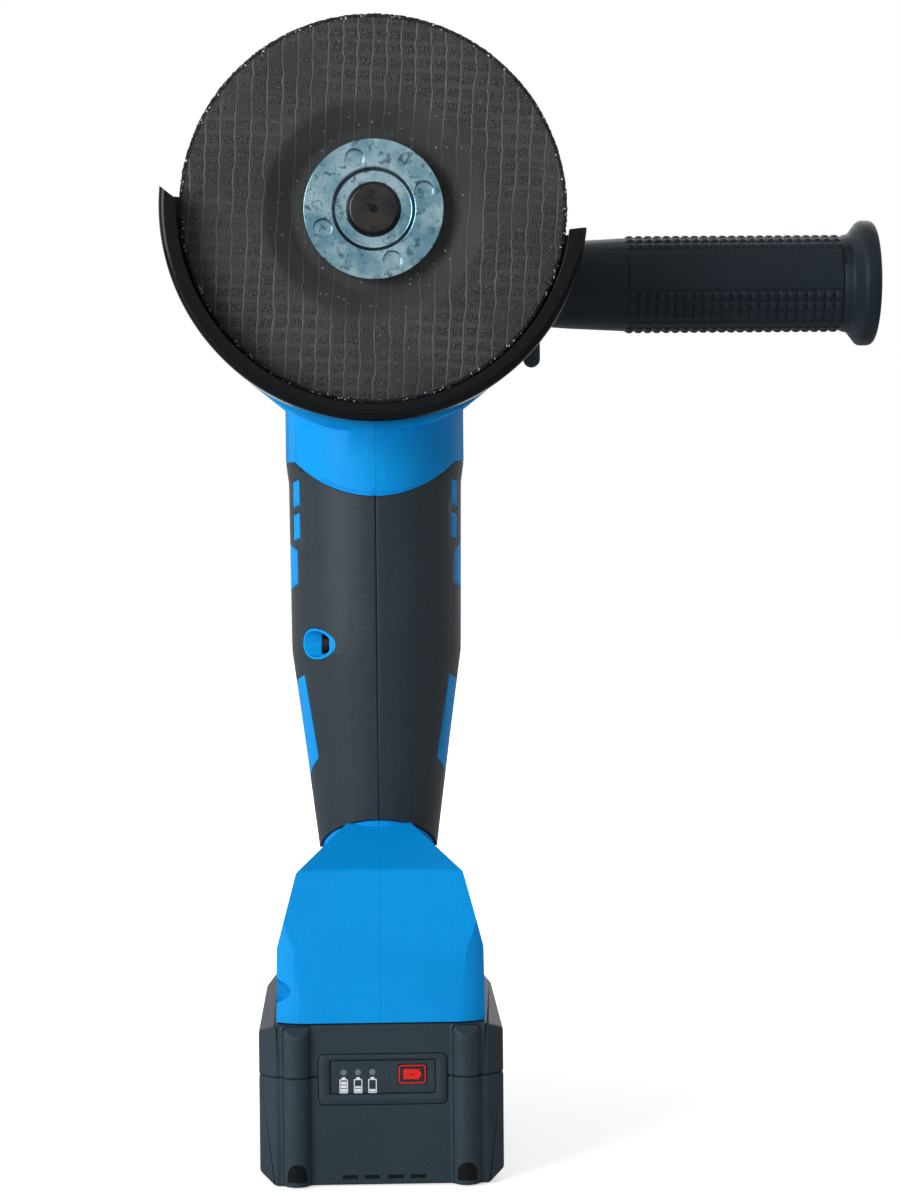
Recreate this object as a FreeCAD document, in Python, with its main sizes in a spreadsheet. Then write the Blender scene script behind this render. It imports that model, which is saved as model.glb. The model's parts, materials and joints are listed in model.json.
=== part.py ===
import FreeCAD, Part
import math
import os
import re
import Sketcher

# Cordless angle grinder, standing upright on its battery pack.
# +Z runs up the motor axis, -Y is the side that the grinding wheel faces, and the
# side handle points along +X. The origin is on the pack's flat base, under the motor axis.
# Millimetres throughout.

os.makedirs("parts", exist_ok=True)
document = FreeCAD.newDocument("AngleGrinder")

# Driving dimensions: one plain number each, written once, in the spreadsheet "Sizes".
SIZES = {
    # clearances shared by mating pieces
    "seat_gap": 0.05,
    "slide_gap": 0.3,
    "running_gap": 0.06,
    # spindle line, measured forward (-Y) from the motor axis
    "spindle_height": 295.8,
    "spindle_radius": 6,
    "spindle_tail_radius": 4,
    "spindle_tail_end": 18,
    "spindle_tail_start": 8,
    "thread_radius": 7.94,
    "thread_end": 61,
    "shoulder_radius": 9.5,
    "shoulder_front": 43,
    "inner_flange_radius": 20,
    "inner_flange_rim": 6.4,
    "pilot_length": 2.6,
    # grinding wheel
    "wheel_radius": 57.5,
    "wheel_bore": 11.115,
    "wheel_thickness": 6,
    "wheel_offset": 4.6,
    "bowl_floor_radius": 24,
    "bowl_edge_radius": 32.6,
    "nut_radius": 20.75,
    "nut_thickness": 4.6,
    "nut_face_step": 1.2,
    "nut_ring_radius": 12.5,
    "nut_pilot_length": 2.4,
    "pin_circle_radius": 16,
    "pin_hole_radius": 2.7,
    "pin_hole_depth": 2.8,
    "pin_hole_turn": 20,
    # bearing box and guard seat
    "box_flange_back": 24,
    "box_flange_thickness": 5,
    "box_half_width": 26,
    "box_boss_radius": 21,
    "box_boss_front": 38.6,
    "box_spigot_radius": 22.4,
    "box_spigot_length": 7.2,
    "box_neck_bore": 12.5,
    "main_bearing_radius": 16,
    "main_bearing_width": 10,
    "retainer_thickness": 1.2,
    "retainer_bore": 11,
    # gear case
    "case_half_width": 26,
    "case_bore_radius": 9,
    "case_top": 321.8,
    "case_back": 24,
    "case_cavity_radius": 22.5,
    "case_cavity_back": 8,
    "case_corner": 10,
    "case_flange_half": 27,
    "case_flange_height": 6,
    "case_screw_reach": 20.5,
    "case_screw_radius": 2,
    "case_screw_head_radius": 3.5,
    "case_screw_head": 3,
    "case_screw_length": 16,
    "flange_screw_reach": 22.3,
    "handle_boss_radius": 12,
    "handle_boss_face": 37,
    # bevel gears
    "ring_teeth": 37,
    "pinion_teeth": 10,
    "gear_module": 1.05,
    "pressure_angle": 20,
    "face_width": 5,
    "tooth_backlash": 0.3,
    "ring_back": 12.6,
    "ring_hub_radius": 7.6,
    "ring_hub_length": 2,
    "ring_heel": 2.6,
    "ring_back_chamfer": 4,
    # spindle lock
    "lock_pin_radius": 2,
    "lock_pin_reach": 10.5,
    "lock_hole_radius": 2.5,
    "lock_hole_count": 6,
    "lock_pin_stand_off": 1.2,
    "lock_travel": 4,
    "lock_button_radius": 7,
    "lock_button_height": 6,
    "lock_spring_radius": 3.4,
    "lock_spring_wire": 0.5,
    "lock_spring_seat": 4,
    "sleeve_wall": 2,
    # motor line, measured up from the base of the battery pack
    "shaft_radius": 4,
    "pinion_bore": 2.2,
    "pinion_hub_radius": 5.6,
    "pinion_stand": 0.6,
    "pinion_nut_radius": 4,
    "pinion_nut_height": 4,
    "shaft_tail": 2,
    "small_bearing_radius": 11,
    "small_bearing_width": 7,
    "rear_bearing_base": 167,
    "front_bearing_base": 252.6,
    "stator_base": 184,
    "stator_length": 36,
    "stator_radius": 22.9,
    "stator_bore": 12.4,
    "stator_yoke": 3.4,
    "tooth_half_width": 3,
    "shoe_half_width": 4.6,
    "shoe_height": 1.4,
    "coil_half_width": 5.2,
    "slot_count": 6,
    "coil_overhang": 4.5,
    "rotor_radius": 9.6,
    "magnet_thickness": 2.2,
    "magnet_count": 4,
    "fan_base": 234,
    "fan_height": 12,
    "fan_radius": 23.6,
    "fan_blades": 11,
    "fan_plate": 1.5,
    "fan_hub_wall": 3,
    "fan_blade_half": 0.7,
    "baffle_thickness": 2,
    # housing and grip
    "housing_top": 250,
    "neck_radius": 28.2,
    "neck_base": 221.7,
    "grip_radius": 27.3,
    "grip_top": 215,
    "swell_height": 162,
    "swell_radius": 26.8,
    "palm_height": 133,
    "palm_radius": 22.9,
    "waist_height": 99.4,
    "waist_radius": 18.7,
    "cover_thickness": 2,
    "hem_rise": 10,
    "hem_flat": 2,
    "hem_step": 1,
    "housing_wall": 2.2,
    "cover_arc_radius": 34.6,
    "cover_arc_bottom": 211,
    "lip_tip_radius": 39,
    "lip_tip_height": 246.7,
    "lip_root_height": 238,
    "lip_front": 31,
    "lip_arc_radius": 65.6,
    "lip_arc_sheet": 2.2,
    "lip_arc_back": 16,
    "lip_arc_bend": 25,
    "lip_arc_fall": 1.7,
    "lip_arc_tips": 51,
    "panel_base": 120.8,
    "panel_top": 151.4,
    "panel_base_fall": 7.8,
    "panel_top_fall": 3.5,
    "panel_reach": 12,
    "panel_inset": 14,
    "window_base": 180.6,
    "window_top": 196.9,
    "window_slant": 3,
    "window_reach": 11,
    "slot_length": 7.9,
    "slot_width": 4,
    "slot_slant": 0.8,
    "slot_front": 13,
    "upper_slot_base": 208.2,
    "lower_slot_base": 197.9,
    "screw_well_radius": 4.2,
    "screw_head_radius": 3.2,
    "screw_shank_radius": 1.9,
    "screw_head_height": 2.4,
    "grip_screw_height": 165,
    "grip_screw_reach": 18.6,
    "grip_screw_seat": 14.8,
    "waist_screw_height": 112,
    "waist_screw_reach": 11,
    "waist_screw_seat": 12,
    "foot_screw_height": 59.8,
    "foot_screw_seat": 21,
    "foot_screw_skin": 0.85,
    "back_screw_seat": 26,
    "back_screw_height": 70,
    "back_screw_inset": 6,
    "screw_bite": 9,
    "screw_boss_radius": 3,
    "vent_count": 4,
    "vent_width": 3,
    "vent_height": 8,
    # foot
    "foot_base": 50,
    "foot_half_width": 32.3,
    "foot_shoulder_half": 31.7,
    "foot_shoulder": 72.6,
    "foot_crown_half": 25.6,
    "foot_crown": 95.7,
    "foot_front": 40,
    "foot_back": 42,
    "roof_side_peak": 121.5,
    "roof_front_peak": 119.9,
    "shoulder_front_inset": 0.5,
    "shoulder_back_inset": 1,
    "crown_front_inset": 4,
    "crown_back_inset": 5,
    "crown_front_rise": 0.6,
    "crown_back_drop": 10,
    "foot_corner": 10,
    "foot_front_bend": 16,
    "foot_front_fall": 3.5,
    "roof_tilt": 8.5,
    "foot_front_block": 9,
    "foot_wall": 2.6,
    "deck_base": 62,
    "deck_thickness": 2.4,
    "tray_half_width": 22,
    "tray_half_length": 27,
    "tray_height": 16,
    "tray_wall": 1.5,
    "tray_floor": 2,
    "chip_pitch": 6.4,
    "chip_half_width": 2.4,
    "chip_height": 2,
    "capacitor_radius": 5,
    "capacitor_height": 9,
    "board_thickness": 1.6,
    # battery pack
    "pack_end_room": 5.1,
    "pack_base_inset": 4.6,
    "pack_front": 40,
    "pack_back_room": 8.6,
    "pack_deck": 49.6,
    "pack_shoulder": 47.2,
    "pack_chamfer": 3.5,
    "pack_corner": 5,
    "pack_taper_start": 45,
    "pack_back_inset": 3.1,
    "pack_split": 33.4,
    "pack_wall": 2.2,
    "pack_screw_reach": 26,
    "column_inset": 1.6,
    "column_bevel": 3.3,
    "pack_well_radius": 3,
    "pack_well_depth": 7.5,
    "rear_screw_reach": 20,
    "rear_screw_inset": 4,
    "column_radius": 4.7,
    "cell_radius": 9.2,
    "cell_length": 65,
    "cell_pitch": 18.9,
    "cell_columns": 5,
    "cell_rows": 2,
    "first_cell_front": 23.4,
    "holder_thickness": 8,
    "strap_thickness": 0.3,
    "strap_width": 6,
    "holder_margin": 0.6,
    "holder_inset": 2,
    "head_half_width": 22,
    "head_front": 22.6,
    "head_back": 40,
    "head_top": 61.4,
    "rail_reach": 5,
    "rail_base": 55,
    "rail_height": 3.5,
    "blade_spacing": 10,
    "blade_thickness": 0.8,
    "blade_height": 5,
    "blade_length": 16,
    "contact_slot_width": 2.2,
    "contact_slot_depth": 1.6,
    "terminal_depth": 6.9,
    "terminal_half_width": 20,
    "clip_leaf": 0.5,
    "clip_base": 1,
    # charge gauge
    "gauge_center": 0.4,
    "gauge_half_width": 16.2,
    "gauge_base": 28.1,
    "gauge_height": 10.5,
    "gauge_thickness": 2,
    "gauge_recess": 0.1,
    "button_stand": 0.3,
    "button_center": 9.4,
    "button_width": 8.4,
    "button_base": 31.2,
    "button_height": 5.8,
    "button_travel": 0.6,
    "light_radius": 0.95,
    "light_height": 34.8,
    "light_spacing": 4.4,
    "light_center": -7.2,
    "light_count": 3,
    # battery latch
    "latch_half_width": 12,
    "latch_front": 50,
    "latch_back": 66,
    "latch_travel": 3,
    "latch_rise": 1.6,
    "latch_height": 3.9,
    # slide switch
    "switch_half_width": 7,
    "switch_base": 128,
    "switch_length": 20,
    "switch_travel": 7,
    "switch_rise": 3,
    "switch_plate_margin": 1.5,
    "switch_plate_thickness": 2.1,
    "switch_plate_depth": 1.5,
    "ridge_length": 5,
    "switch_body_base": 103.5,
    "switch_body_height": 20,
    "switch_body_front": 8,
    "cradle_half_depth": 3,
    "cradle_inset": 2,
    # wheel guard
    "guard_room": 5.4,
    "guard_sheet": 2,
    "guard_front": 69,
    "guard_back": 36.2,
    "guard_lip_width": 5.2,
    "guard_turn": -5.9,
    "guard_collar_radius": 23.6,
    "guard_web_radius": 27,
    "guard_collar_gap": 1,
    "lever_pivot_reach": 30,
    "lever_pivot_angle": -22,
    "lever_tip_inset": 14.9,
    "lever_tip_drop": 46,
    "lever_width": 5,
    "lever_thickness": 4,
    "lever_eye_radius": 5,
    "lever_pin_radius": 2,
    # side handle
    "handle_height": 277.2,
    "handle_collar_radius": 14,
    "handle_collar_length": 2,
    "handle_neck_radius": 12.6,
    "handle_neck_end": 46,
    "handle_swell_start": 62,
    "handle_swell_radius": 13.8,
    "handle_grip_start": 81,
    "handle_grip_radius": 15.4,
    "handle_grip_end": 150.6,
    "handle_flange_start": 154,
    "handle_flange_radius": 19.8,
    "handle_end": 158.9,
    "handle_core_radius": 9,
    "stud_radius": 4.94,
    "stud_length": 14,
    "stud_depth": 40,
}

# Values worked out from the driving ones, as formulas in the spreadsheet "Worked".
WORKED = {
    "hub_back": "shoulder_front + inner_flange_rim",
    "hub_front": "hub_back + wheel_thickness",
    "wheel_front": "hub_front + wheel_offset",
    "nut_front": "hub_front + nut_thickness",
    "box_flange_front": "box_flange_back + box_flange_thickness",
    "main_bearing_back": "box_flange_back - box_spigot_length",
    "guard_radius": "wheel_radius + guard_room",
    "guard_lip_radius": "guard_radius - guard_lip_width",
    "lever_tip_reach": "guard_radius - lever_tip_inset",
    "main_bearing_front": "main_bearing_back + main_bearing_width",
    "handle_start": "handle_boss_face + seat_gap",
    "ring_pitch_radius": "gear_module * ring_teeth / 2",
    "pinion_pitch_radius": "gear_module * pinion_teeth / 2",
    "mesh_slant": "sqrt(ring_pitch_radius ^ 2 + pinion_pitch_radius ^ 2)",
    "mesh_inner": "1 - face_width / mesh_slant",
    "ring_web_face": "(pinion_pitch_radius + 1.25 * gear_module * ring_pitch_radius / mesh_slant) * mesh_inner",
    "pinion_top": "spindle_height - ring_pitch_radius * mesh_inner + 0.3",
    "case_flange_top": "housing_top + case_flange_height",
    "front_bearing_top": "front_bearing_base + small_bearing_width",
    "rear_bearing_top": "rear_bearing_base + small_bearing_width",
    "stator_top": "stator_base + stator_length",
    "motor_floor": "rear_bearing_top + 3",
    "baffle_base": "stator_top + coil_overhang + 4.5",
    "fan_chamber_radius": "neck_radius - housing_wall - 0.8",
    "collar_base": "housing_top - 12",
    "deck_top": "deck_base + deck_thickness",
    "foot_center": "(foot_back - foot_front) / 2",
    "foot_screw_inset": "screw_well_radius + foot_screw_skin",
    "lip_arc_middle": "spindle_height - lip_arc_radius + lip_arc_tips",
    "pack_half_width": "cell_length / 2 + pack_end_room",
    "pack_base_half": "pack_half_width - pack_base_inset",
    "pack_back_half": "pack_half_width - pack_back_inset",
    "lower_row": "pack_wall + 1.6 + cell_radius",
    "cells_back": "cell_pitch * (cell_columns - 1) - first_cell_front + cell_radius",
    "pack_back": "cells_back + pack_back_room",
    "holder_front": "first_cell_front + cell_radius + holder_margin",
    "holder_top": "lower_row + cell_pitch * (cell_rows - 1) + cell_radius + holder_margin",
    "holder_outer": "cell_length / 2 - holder_inset",
    "blade_base": "rail_base + 0.9",
    "pack_column_depth": "pack_front - column_inset",
    "latch_base": "pack_deck + latch_rise - latch_height",
    "latch_floor": "latch_base - latch_travel - 0.1",
    "gauge_face": "pack_front - gauge_recess",
    "lock_button_base": "case_back + lock_travel + slide_gap",
}

# spreadsheet and helpers


def bound(text, own="Worked."):
    """Turn a formula in plain names into one that names the two spreadsheets."""
    def full_name(match):
        name = match.group(0)
        if name in SIZES:
            return "Sizes." + name
        if name in WORKED:
            return own + name
        return name
    return re.sub("[a-z_]+", full_name, str(text))


def fill_sheet(name, rows):
    sheet = document.addObject("Spreadsheet::Sheet", name)
    for row, (alias, content) in enumerate(rows, 1):
        sheet.set("A%d" % row, alias)
        sheet.set("B%d" % row, content)
        sheet.setAlias("B%d" % row, alias)
    document.recompute()
    return sheet


sizes_sheet = fill_sheet("Sizes", [(name, str(value)) for name, value in SIZES.items()])
worked_sheet = fill_sheet("Worked", [(name, "=" + bound(text, "")) for name, text in WORKED.items()])


def size(text):
    """The present value of a formula, in millimetres."""
    value = sizes_sheet.evalExpression(bound(text))
    return float(getattr(value, "Value", value))


def vector(x, y, z):
    return FreeCAD.Vector(x, y, z)


# Frames. In SPINDLE local +Z runs forward (world -Y) along the spindle axis and local +Y runs up.
# In HANDLE local +Z runs along world +X from the motor axis, and local +X runs down.
WORLD = (None, FreeCAD.Rotation())
SPINDLE = ("spindle_height", FreeCAD.Rotation(vector(1, 0, 0), 90))
HANDLE = ("handle_height", FreeCAD.Rotation(vector(0, 1, 0), 90))


def put(item, frame):
    height, turn = frame
    item.Placement = FreeCAD.Placement(vector(0, 0, 0), turn)
    if height:
        item.setExpression("Placement.Base.z", bound(height))
    return item


def new_body(label, frame=WORLD):
    return put(document.addObject("PartDesign::Body", label), frame)


def origin_part(body, role):
    return [part for part in body.Origin.OriginFeatures if part.Role == role][0]


# Which way each origin plane of a body faces along its own axis.
PLANE_SENSE = {"XY_Plane": 1, "XZ_Plane": -1, "YZ_Plane": 1}


def round_corner(first, last, radius):
    """An arc between two points, bulging to the right of the way along."""
    along = last - first
    half = along.Length / 2
    rise = radius - math.sqrt(max(radius * radius - half * half, 0))
    right = vector(along.y, -along.x, 0).normalize()
    return Part.Arc(first, (first + last) / 2 + right * rise, last)


def sketch(body, plane, loops, level="0"):
    """A fully constrained sketch. A loop is (x, y, radius) in a tuple for a circle, or a list of
    corners (x, y), anticlockwise; a corner (x, y, radius) starts an outward arc to the next."""
    drawing = body.newObject("Sketcher::SketchObject", body.Name + "_sketch")
    drawing.AttachmentSupport = [(origin_part(body, plane), "")]
    drawing.MapMode = "FlatFace"
    drawing.setExpression("AttachmentOffset.Base.z", bound("%d * (%s)" % (PLANE_SENSE[plane], level)))

    def tie(kind, numbers, formula):
        index = drawing.addConstraint(Sketcher.Constraint(kind, *numbers, size(formula)))
        drawing.setExpression("Constraints[%d]" % index, bound(formula))

    for loop in loops:
        start = drawing.GeometryCount
        if isinstance(loop, tuple):
            center = vector(size(loop[0]), size(loop[1]), 0)
            drawing.addGeometry(Part.Circle(center, vector(0, 0, 1), size(loop[2])), False)
            tie("Radius", (start,), loop[2])
            tie("DistanceX", (-1, 1, start, 3), loop[0])
            tie("DistanceY", (-1, 1, start, 3), loop[1])
            continue
        corners = [vector(size(corner[0]), size(corner[1]), 0) for corner in loop]
        for index, corner in enumerate(loop):
            ends = (corners[index], corners[(index + 1) % len(loop)])
            if len(corner) == 3:
                drawing.addGeometry(round_corner(*ends, size(corner[2])), False)
            else:
                drawing.addGeometry(Part.LineSegment(*ends), False)
        for index, corner in enumerate(loop):
            following = start + (index + 1) % len(loop)
            drawing.addConstraint(Sketcher.Constraint("Coincident", start + index, 2, following, 1))
            tie("DistanceX", (-1, 1, start + index, 1), corner[0])
            tie("DistanceY", (-1, 1, start + index, 1), corner[1])
            if len(corner) == 3:
                tie("Radius", (start + index,), corner[2])
    return drawing


def sweep(body, kind, drawing, start, end):
    """A pad or a pocket of a sketch, from one level to another along the sketch's normal."""
    feature = body.newObject("PartDesign::" + kind, body.Name + "_" + kind.lower())
    feature.Profile = drawing
    plane = drawing.AttachmentSupport[0][0].Role
    onward = (size(end) - size(start)) * PLANE_SENSE[plane] > 0
    feature.setExpression("Length", bound("abs((%s) - (%s))" % (end, start)))
    feature.Reversed = onward if kind == "Pocket" else not onward
    return feature


def pad(body, plane, loops, start, end):
    return sweep(body, "Pad", sketch(body, plane, loops, start), start, end)


def pocket(body, plane, loops, start, end):
    before = refreshed(body).Shape.Volume
    feature = sweep(body, "Pocket", sketch(body, plane, loops, start), start, end)
    if refreshed(body).Shape.Volume >= before - 1e-6:
        raise ValueError(feature.Name + " cuts nothing")
    return feature


def refreshed(item):
    document.recompute()
    return item


def turn(body, points, kind="Revolution"):
    """A revolution, or a groove, of an outline of (radius, height) about local Z."""
    feature = body.newObject("PartDesign::" + kind, body.Name + "_" + kind.lower())
    feature.Profile = sketch(body, "XZ_Plane", [points])
    feature.ReferenceAxis = (feature.Profile[0], ["V_Axis"])
    feature.Angle = 360
    return feature


def turned(label, frame, points):
    body = new_body(label, frame)
    turn(body, points)
    return body


def prism(label, frame, plane, loops, start, end):
    body = new_body(label, frame)
    pad(body, plane, loops, start, end)
    return body


def ring_of_copies(body, feature, count):
    """Repeat a feature evenly round local Z."""
    pattern = body.newObject("PartDesign::PolarPattern", body.Name + "_pattern")
    pattern.Originals = [feature]
    pattern.Axis = (origin_part(body, "Z_Axis"), [""])
    pattern.Angle = 360
    pattern.setExpression("Occurrences", bound(count))
    body.Tip = pattern
    return pattern


def box(name, x_span, y_span, z_span):
    """A Part::Box between two planes along each axis."""
    block = document.addObject("Part::Box", name)
    for axis, side, span in (("x", "Length", x_span), ("y", "Width", y_span), ("z", "Height", z_span)):
        block.setExpression("Placement.Base." + axis, bound(span[0]))
        block.setExpression(side, bound("(%s) - (%s)" % (span[1], span[0])))
    return block


# Rotations that turn a cylinder's own axis from +Z to the named world axis.
AXIS_TURN = {
    "x": FreeCAD.Rotation(vector(0, 1, 0), 90),
    "y": FreeCAD.Rotation(vector(1, 0, 0), -90),
    "z": FreeCAD.Rotation(),
}


def rod(name, axis, radius, place, span):
    """A Part::Cylinder along a world axis. place gives its other two coordinates, in x, y, z order."""
    cylinder = document.addObject("Part::Cylinder", name)
    cylinder.Placement = FreeCAD.Placement(vector(0, 0, 0), AXIS_TURN[axis])
    cylinder.setExpression("Radius", bound(radius))
    cylinder.setExpression("Height", bound("(%s) - (%s)" % (span[1], span[0])))
    others = [letter for letter in "xyz" if letter != axis]
    cylinder.setExpression("Placement.Base." + axis, bound(span[0]))
    cylinder.setExpression("Placement.Base." + others[0], bound(place[0]))
    cylinder.setExpression("Placement.Base." + others[1], bound(place[1]))
    return cylinder


def combine(kind, label, items):
    """Part::MultiFuse or Part::MultiCommon of several objects."""
    result = document.addObject("Part::Multi" + kind, label)
    result.Shapes = items
    return result


def cut(label, base, *tools):
    tool = tools[0] if len(tools) == 1 else combine("Fuse", label + "_tools", list(tools))
    result = document.addObject("Part::Cut", label)
    result.Base = base
    result.Tool = tool
    return result


def loose(label, shapes):
    """One node that holds several equal pieces, each a solid of its own."""
    item = document.addObject("Part::Feature", label)
    item.Shape = Part.makeCompound(shapes)
    return item


def placed(shape, x, y, z, rotation=FreeCAD.Rotation()):
    copy = shape.copy()
    copy.Placement = FreeCAD.Placement(vector(x, y, z), rotation).multiply(copy.Placement)
    return copy


FACING = {
    "+z": FreeCAD.Rotation(),
    "-y": FreeCAD.Rotation(vector(1, 0, 0), 90),
    "+y": FreeCAD.Rotation(vector(1, 0, 0), -90),
    "-x": FreeCAD.Rotation(vector(0, 1, 0), -90),
    "-z": FreeCAD.Rotation(vector(1, 0, 0), 180),
}


def screw_shape(shank_radius, length, head_radius, head_height):
    """A socket-head screw: its head stands on local +Z and its shank hangs down to -length."""
    shank = Part.makeCylinder(shank_radius, length, vector(0, 0, -length))
    head = Part.makeCylinder(head_radius, head_height)
    corners = [vector(head_radius * 0.5 * math.cos(math.radians(60 * turn_step)),
                      head_radius * 0.5 * math.sin(math.radians(60 * turn_step)),
                      head_height * 0.4) for turn_step in range(7)]
    socket = Part.Face(Part.makePolygon(corners)).extrude(vector(0, 0, head_height))
    return shank.fuse(head).removeSplitter().cut(socket)


# spindle and grinding wheel

def make_spindle():
    return turned("spindle", SPINDLE, [
        ("0", "-spindle_tail_end"),
        ("spindle_tail_radius", "-spindle_tail_end"),
        ("spindle_tail_radius", "-spindle_tail_start"),
        ("spindle_radius", "-spindle_tail_start"),
        ("spindle_radius", "main_bearing_front + running_gap"),
        ("shoulder_radius", "main_bearing_front + running_gap"),
        ("shoulder_radius", "shoulder_front"),
        ("thread_radius", "shoulder_front"),
        ("thread_radius", "thread_end - 1"),
        ("thread_radius - 1", "thread_end"),
        ("0", "thread_end"),
    ])


def make_inner_flange():
    return turned("inner_flange", SPINDLE, [
        ("thread_radius + seat_gap", "shoulder_front"),
        ("inner_flange_radius * 0.7", "shoulder_front"),
        ("inner_flange_radius", "shoulder_front + inner_flange_rim / 2"),
        ("inner_flange_radius", "hub_back"),
        ("wheel_bore - seat_gap", "hub_back"),
        ("wheel_bore - seat_gap", "hub_back + pilot_length"),
        ("thread_radius + seat_gap", "hub_back + pilot_length"),
    ])


def make_grinding_wheel():
    """A depressed-centre wheel: the hub is set back from the rim's face by wheel_offset."""
    return turned("grinding_wheel", SPINDLE, [
        ("wheel_bore", "hub_back"),
        ("bowl_floor_radius + 2", "hub_back"),
        ("bowl_edge_radius + 2", "hub_back + wheel_offset"),
        ("wheel_radius", "hub_back + wheel_offset"),
        ("wheel_radius", "wheel_front"),
        ("bowl_edge_radius", "wheel_front"),
        ("bowl_floor_radius", "hub_front"),
        ("wheel_bore", "hub_front"),
    ])


def make_lock_nut():
    body = turned("lock_nut", SPINDLE, [
        ("thread_radius + running_gap", "hub_front - nut_pilot_length"),
        ("wheel_bore - seat_gap", "hub_front - nut_pilot_length"),
        ("wheel_bore - seat_gap", "hub_front"),
        ("nut_radius", "hub_front"),
        ("nut_radius", "nut_front"),
        ("nut_ring_radius", "nut_front"),
        ("nut_ring_radius - nut_face_step", "nut_front - nut_face_step"),
        ("thread_radius + running_gap", "nut_front - nut_face_step"),
    ])
    hole = pocket(body, "XY_Plane", [("pin_circle_radius * cos(pin_hole_turn * 1 deg)",
                                      "pin_circle_radius * sin(pin_hole_turn * 1 deg)", "pin_hole_radius")],
                  "nut_front", "nut_front - pin_hole_depth")
    ring_of_copies(body, hole, "4")
    return body


# bearings

def bearing_rings(prefix, frame, bore, outer, base, top):
    """The inner and outer rings of a ball bearing, as two turned bodies."""
    wall = "(%s - %s) * 0.34" % (outer, bore)
    inner = turned(prefix + "_inner_ring", frame, [
        (bore, base), (bore + " + " + wall, base), (bore + " + " + wall, top), (bore, top)])
    ring = turned(prefix + "_outer_ring", frame, [
        (outer + " - " + wall, base), (outer, base), (outer, top), (outer + " - " + wall, top)])
    return inner, ring


def bearing_balls(bore, outer, count):
    """Balls in a circle about local Z, at height zero, just clear of both rings."""
    ball_radius = (outer - bore) * 0.16 - size("seat_gap")
    circle = (outer + bore) / 2
    angles = [2 * math.pi * step / count for step in range(count)]
    return Part.makeCompound([
        Part.makeSphere(ball_radius, vector(circle * math.cos(angle), circle * math.sin(angle), 0))
        for angle in angles])


def make_main_bearing():
    bearing_rings("main_bearing", SPINDLE, "spindle_radius + seat_gap", "main_bearing_radius",
                  "main_bearing_back", "main_bearing_front")
    balls = bearing_balls(size("spindle_radius + seat_gap"), size("main_bearing_radius"), 9)
    middle = -size("(main_bearing_back + main_bearing_front) / 2")
    loose("main_bearing_balls", [placed(balls, 0, middle, size("spindle_height"), FACING["-y"])])


def motor_bearing_ring(label, inner_radius, outer_radius):
    """Both motor bearings are the same size, so each kind of ring is a pair in one node."""
    width = size("small_bearing_width")
    ring = Part.makeCylinder(outer_radius, width).cut(Part.makeCylinder(inner_radius, width))
    bases = (size("rear_bearing_base"), size("front_bearing_base"))
    return loose(label, [placed(ring, 0, 0, base) for base in bases])


def make_motor_bearings():
    bore = size("shaft_radius + seat_gap")
    outer = size("small_bearing_radius")
    wall = (outer - bore) * 0.34
    motor_bearing_ring("motor_bearing_inner_rings", bore, bore + wall)
    motor_bearing_ring("motor_bearing_outer_rings", outer - wall, outer)
    balls = bearing_balls(bore, outer, 7)
    half = size("small_bearing_width / 2")
    loose("motor_bearing_balls", [placed(balls, 0, 0, size("rear_bearing_base") + half),
                                  placed(balls, 0, 0, size("front_bearing_base") + half)])


# bevel gears

def cone_point(gear_radius, pinion_radius, distance, height):
    """A point on the mesh line at a distance from the gears' common apex, as (radius from the
    spindle axis, forward), raised by height toward the ring gear's back."""
    slant = math.hypot(gear_radius, pinion_radius)
    along = vector(gear_radius / slant, pinion_radius / slant, 0)
    across = vector(-along.y, along.x, 0)
    return along * distance + across * height


def tooth(section, outer_distance, inner_distance):
    """A straight bevel tooth about the local line from the apex: section gives (sideways, height)
    at the outer end, and the inner end is the same outline drawn in toward the apex."""
    wires = []
    for distance in (outer_distance, inner_distance):
        share = distance / outer_distance
        corners = [vector(side * share, height * share, distance) for side, height in section]
        wires.append(Part.makePolygon(corners + corners[:1]))
    return Part.makeLoft(wires, True, True)


def ring_tooth_section(module, root, angle, backlash):
    """A straight-sided tooth, with its tip toward -height."""
    pitch_half = math.pi * module / 4 - backlash / 2
    tip = 0.62 * module
    slope = math.tan(angle)
    return [(-pitch_half - root * slope, root + 0.2), (pitch_half + root * slope, root + 0.2),
            (pitch_half - tip * slope, -tip), (-pitch_half + tip * slope, -tip)]


def pinion_tooth_section(module, root, angle, backlash, virtual_radius):
    """An involute tooth on the pinion's back cone, with its tip toward +height."""
    def half_angle(radius):
        base = virtual_radius * math.cos(angle)
        pressure = math.acos(min(base / radius, 1))
        involute = math.tan(pressure) - pressure
        start = math.tan(angle) - angle
        half_pitch = (math.pi * module / 2 - backlash) / 2 / virtual_radius
        return half_pitch + start - involute

    tip = virtual_radius + 0.85 * module
    radii = [virtual_radius - root - 0.3, virtual_radius * math.cos(angle)]
    steps = 4
    radii += [radii[1] + (tip - radii[1]) * step / steps for step in range(1, steps + 1)]
    flank = [(radius * math.sin(half_angle(radius)), radius * math.cos(half_angle(radius)) - virtual_radius)
             for radius in radii]
    return flank + [(-side, height) for side, height in reversed(flank)]


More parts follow.
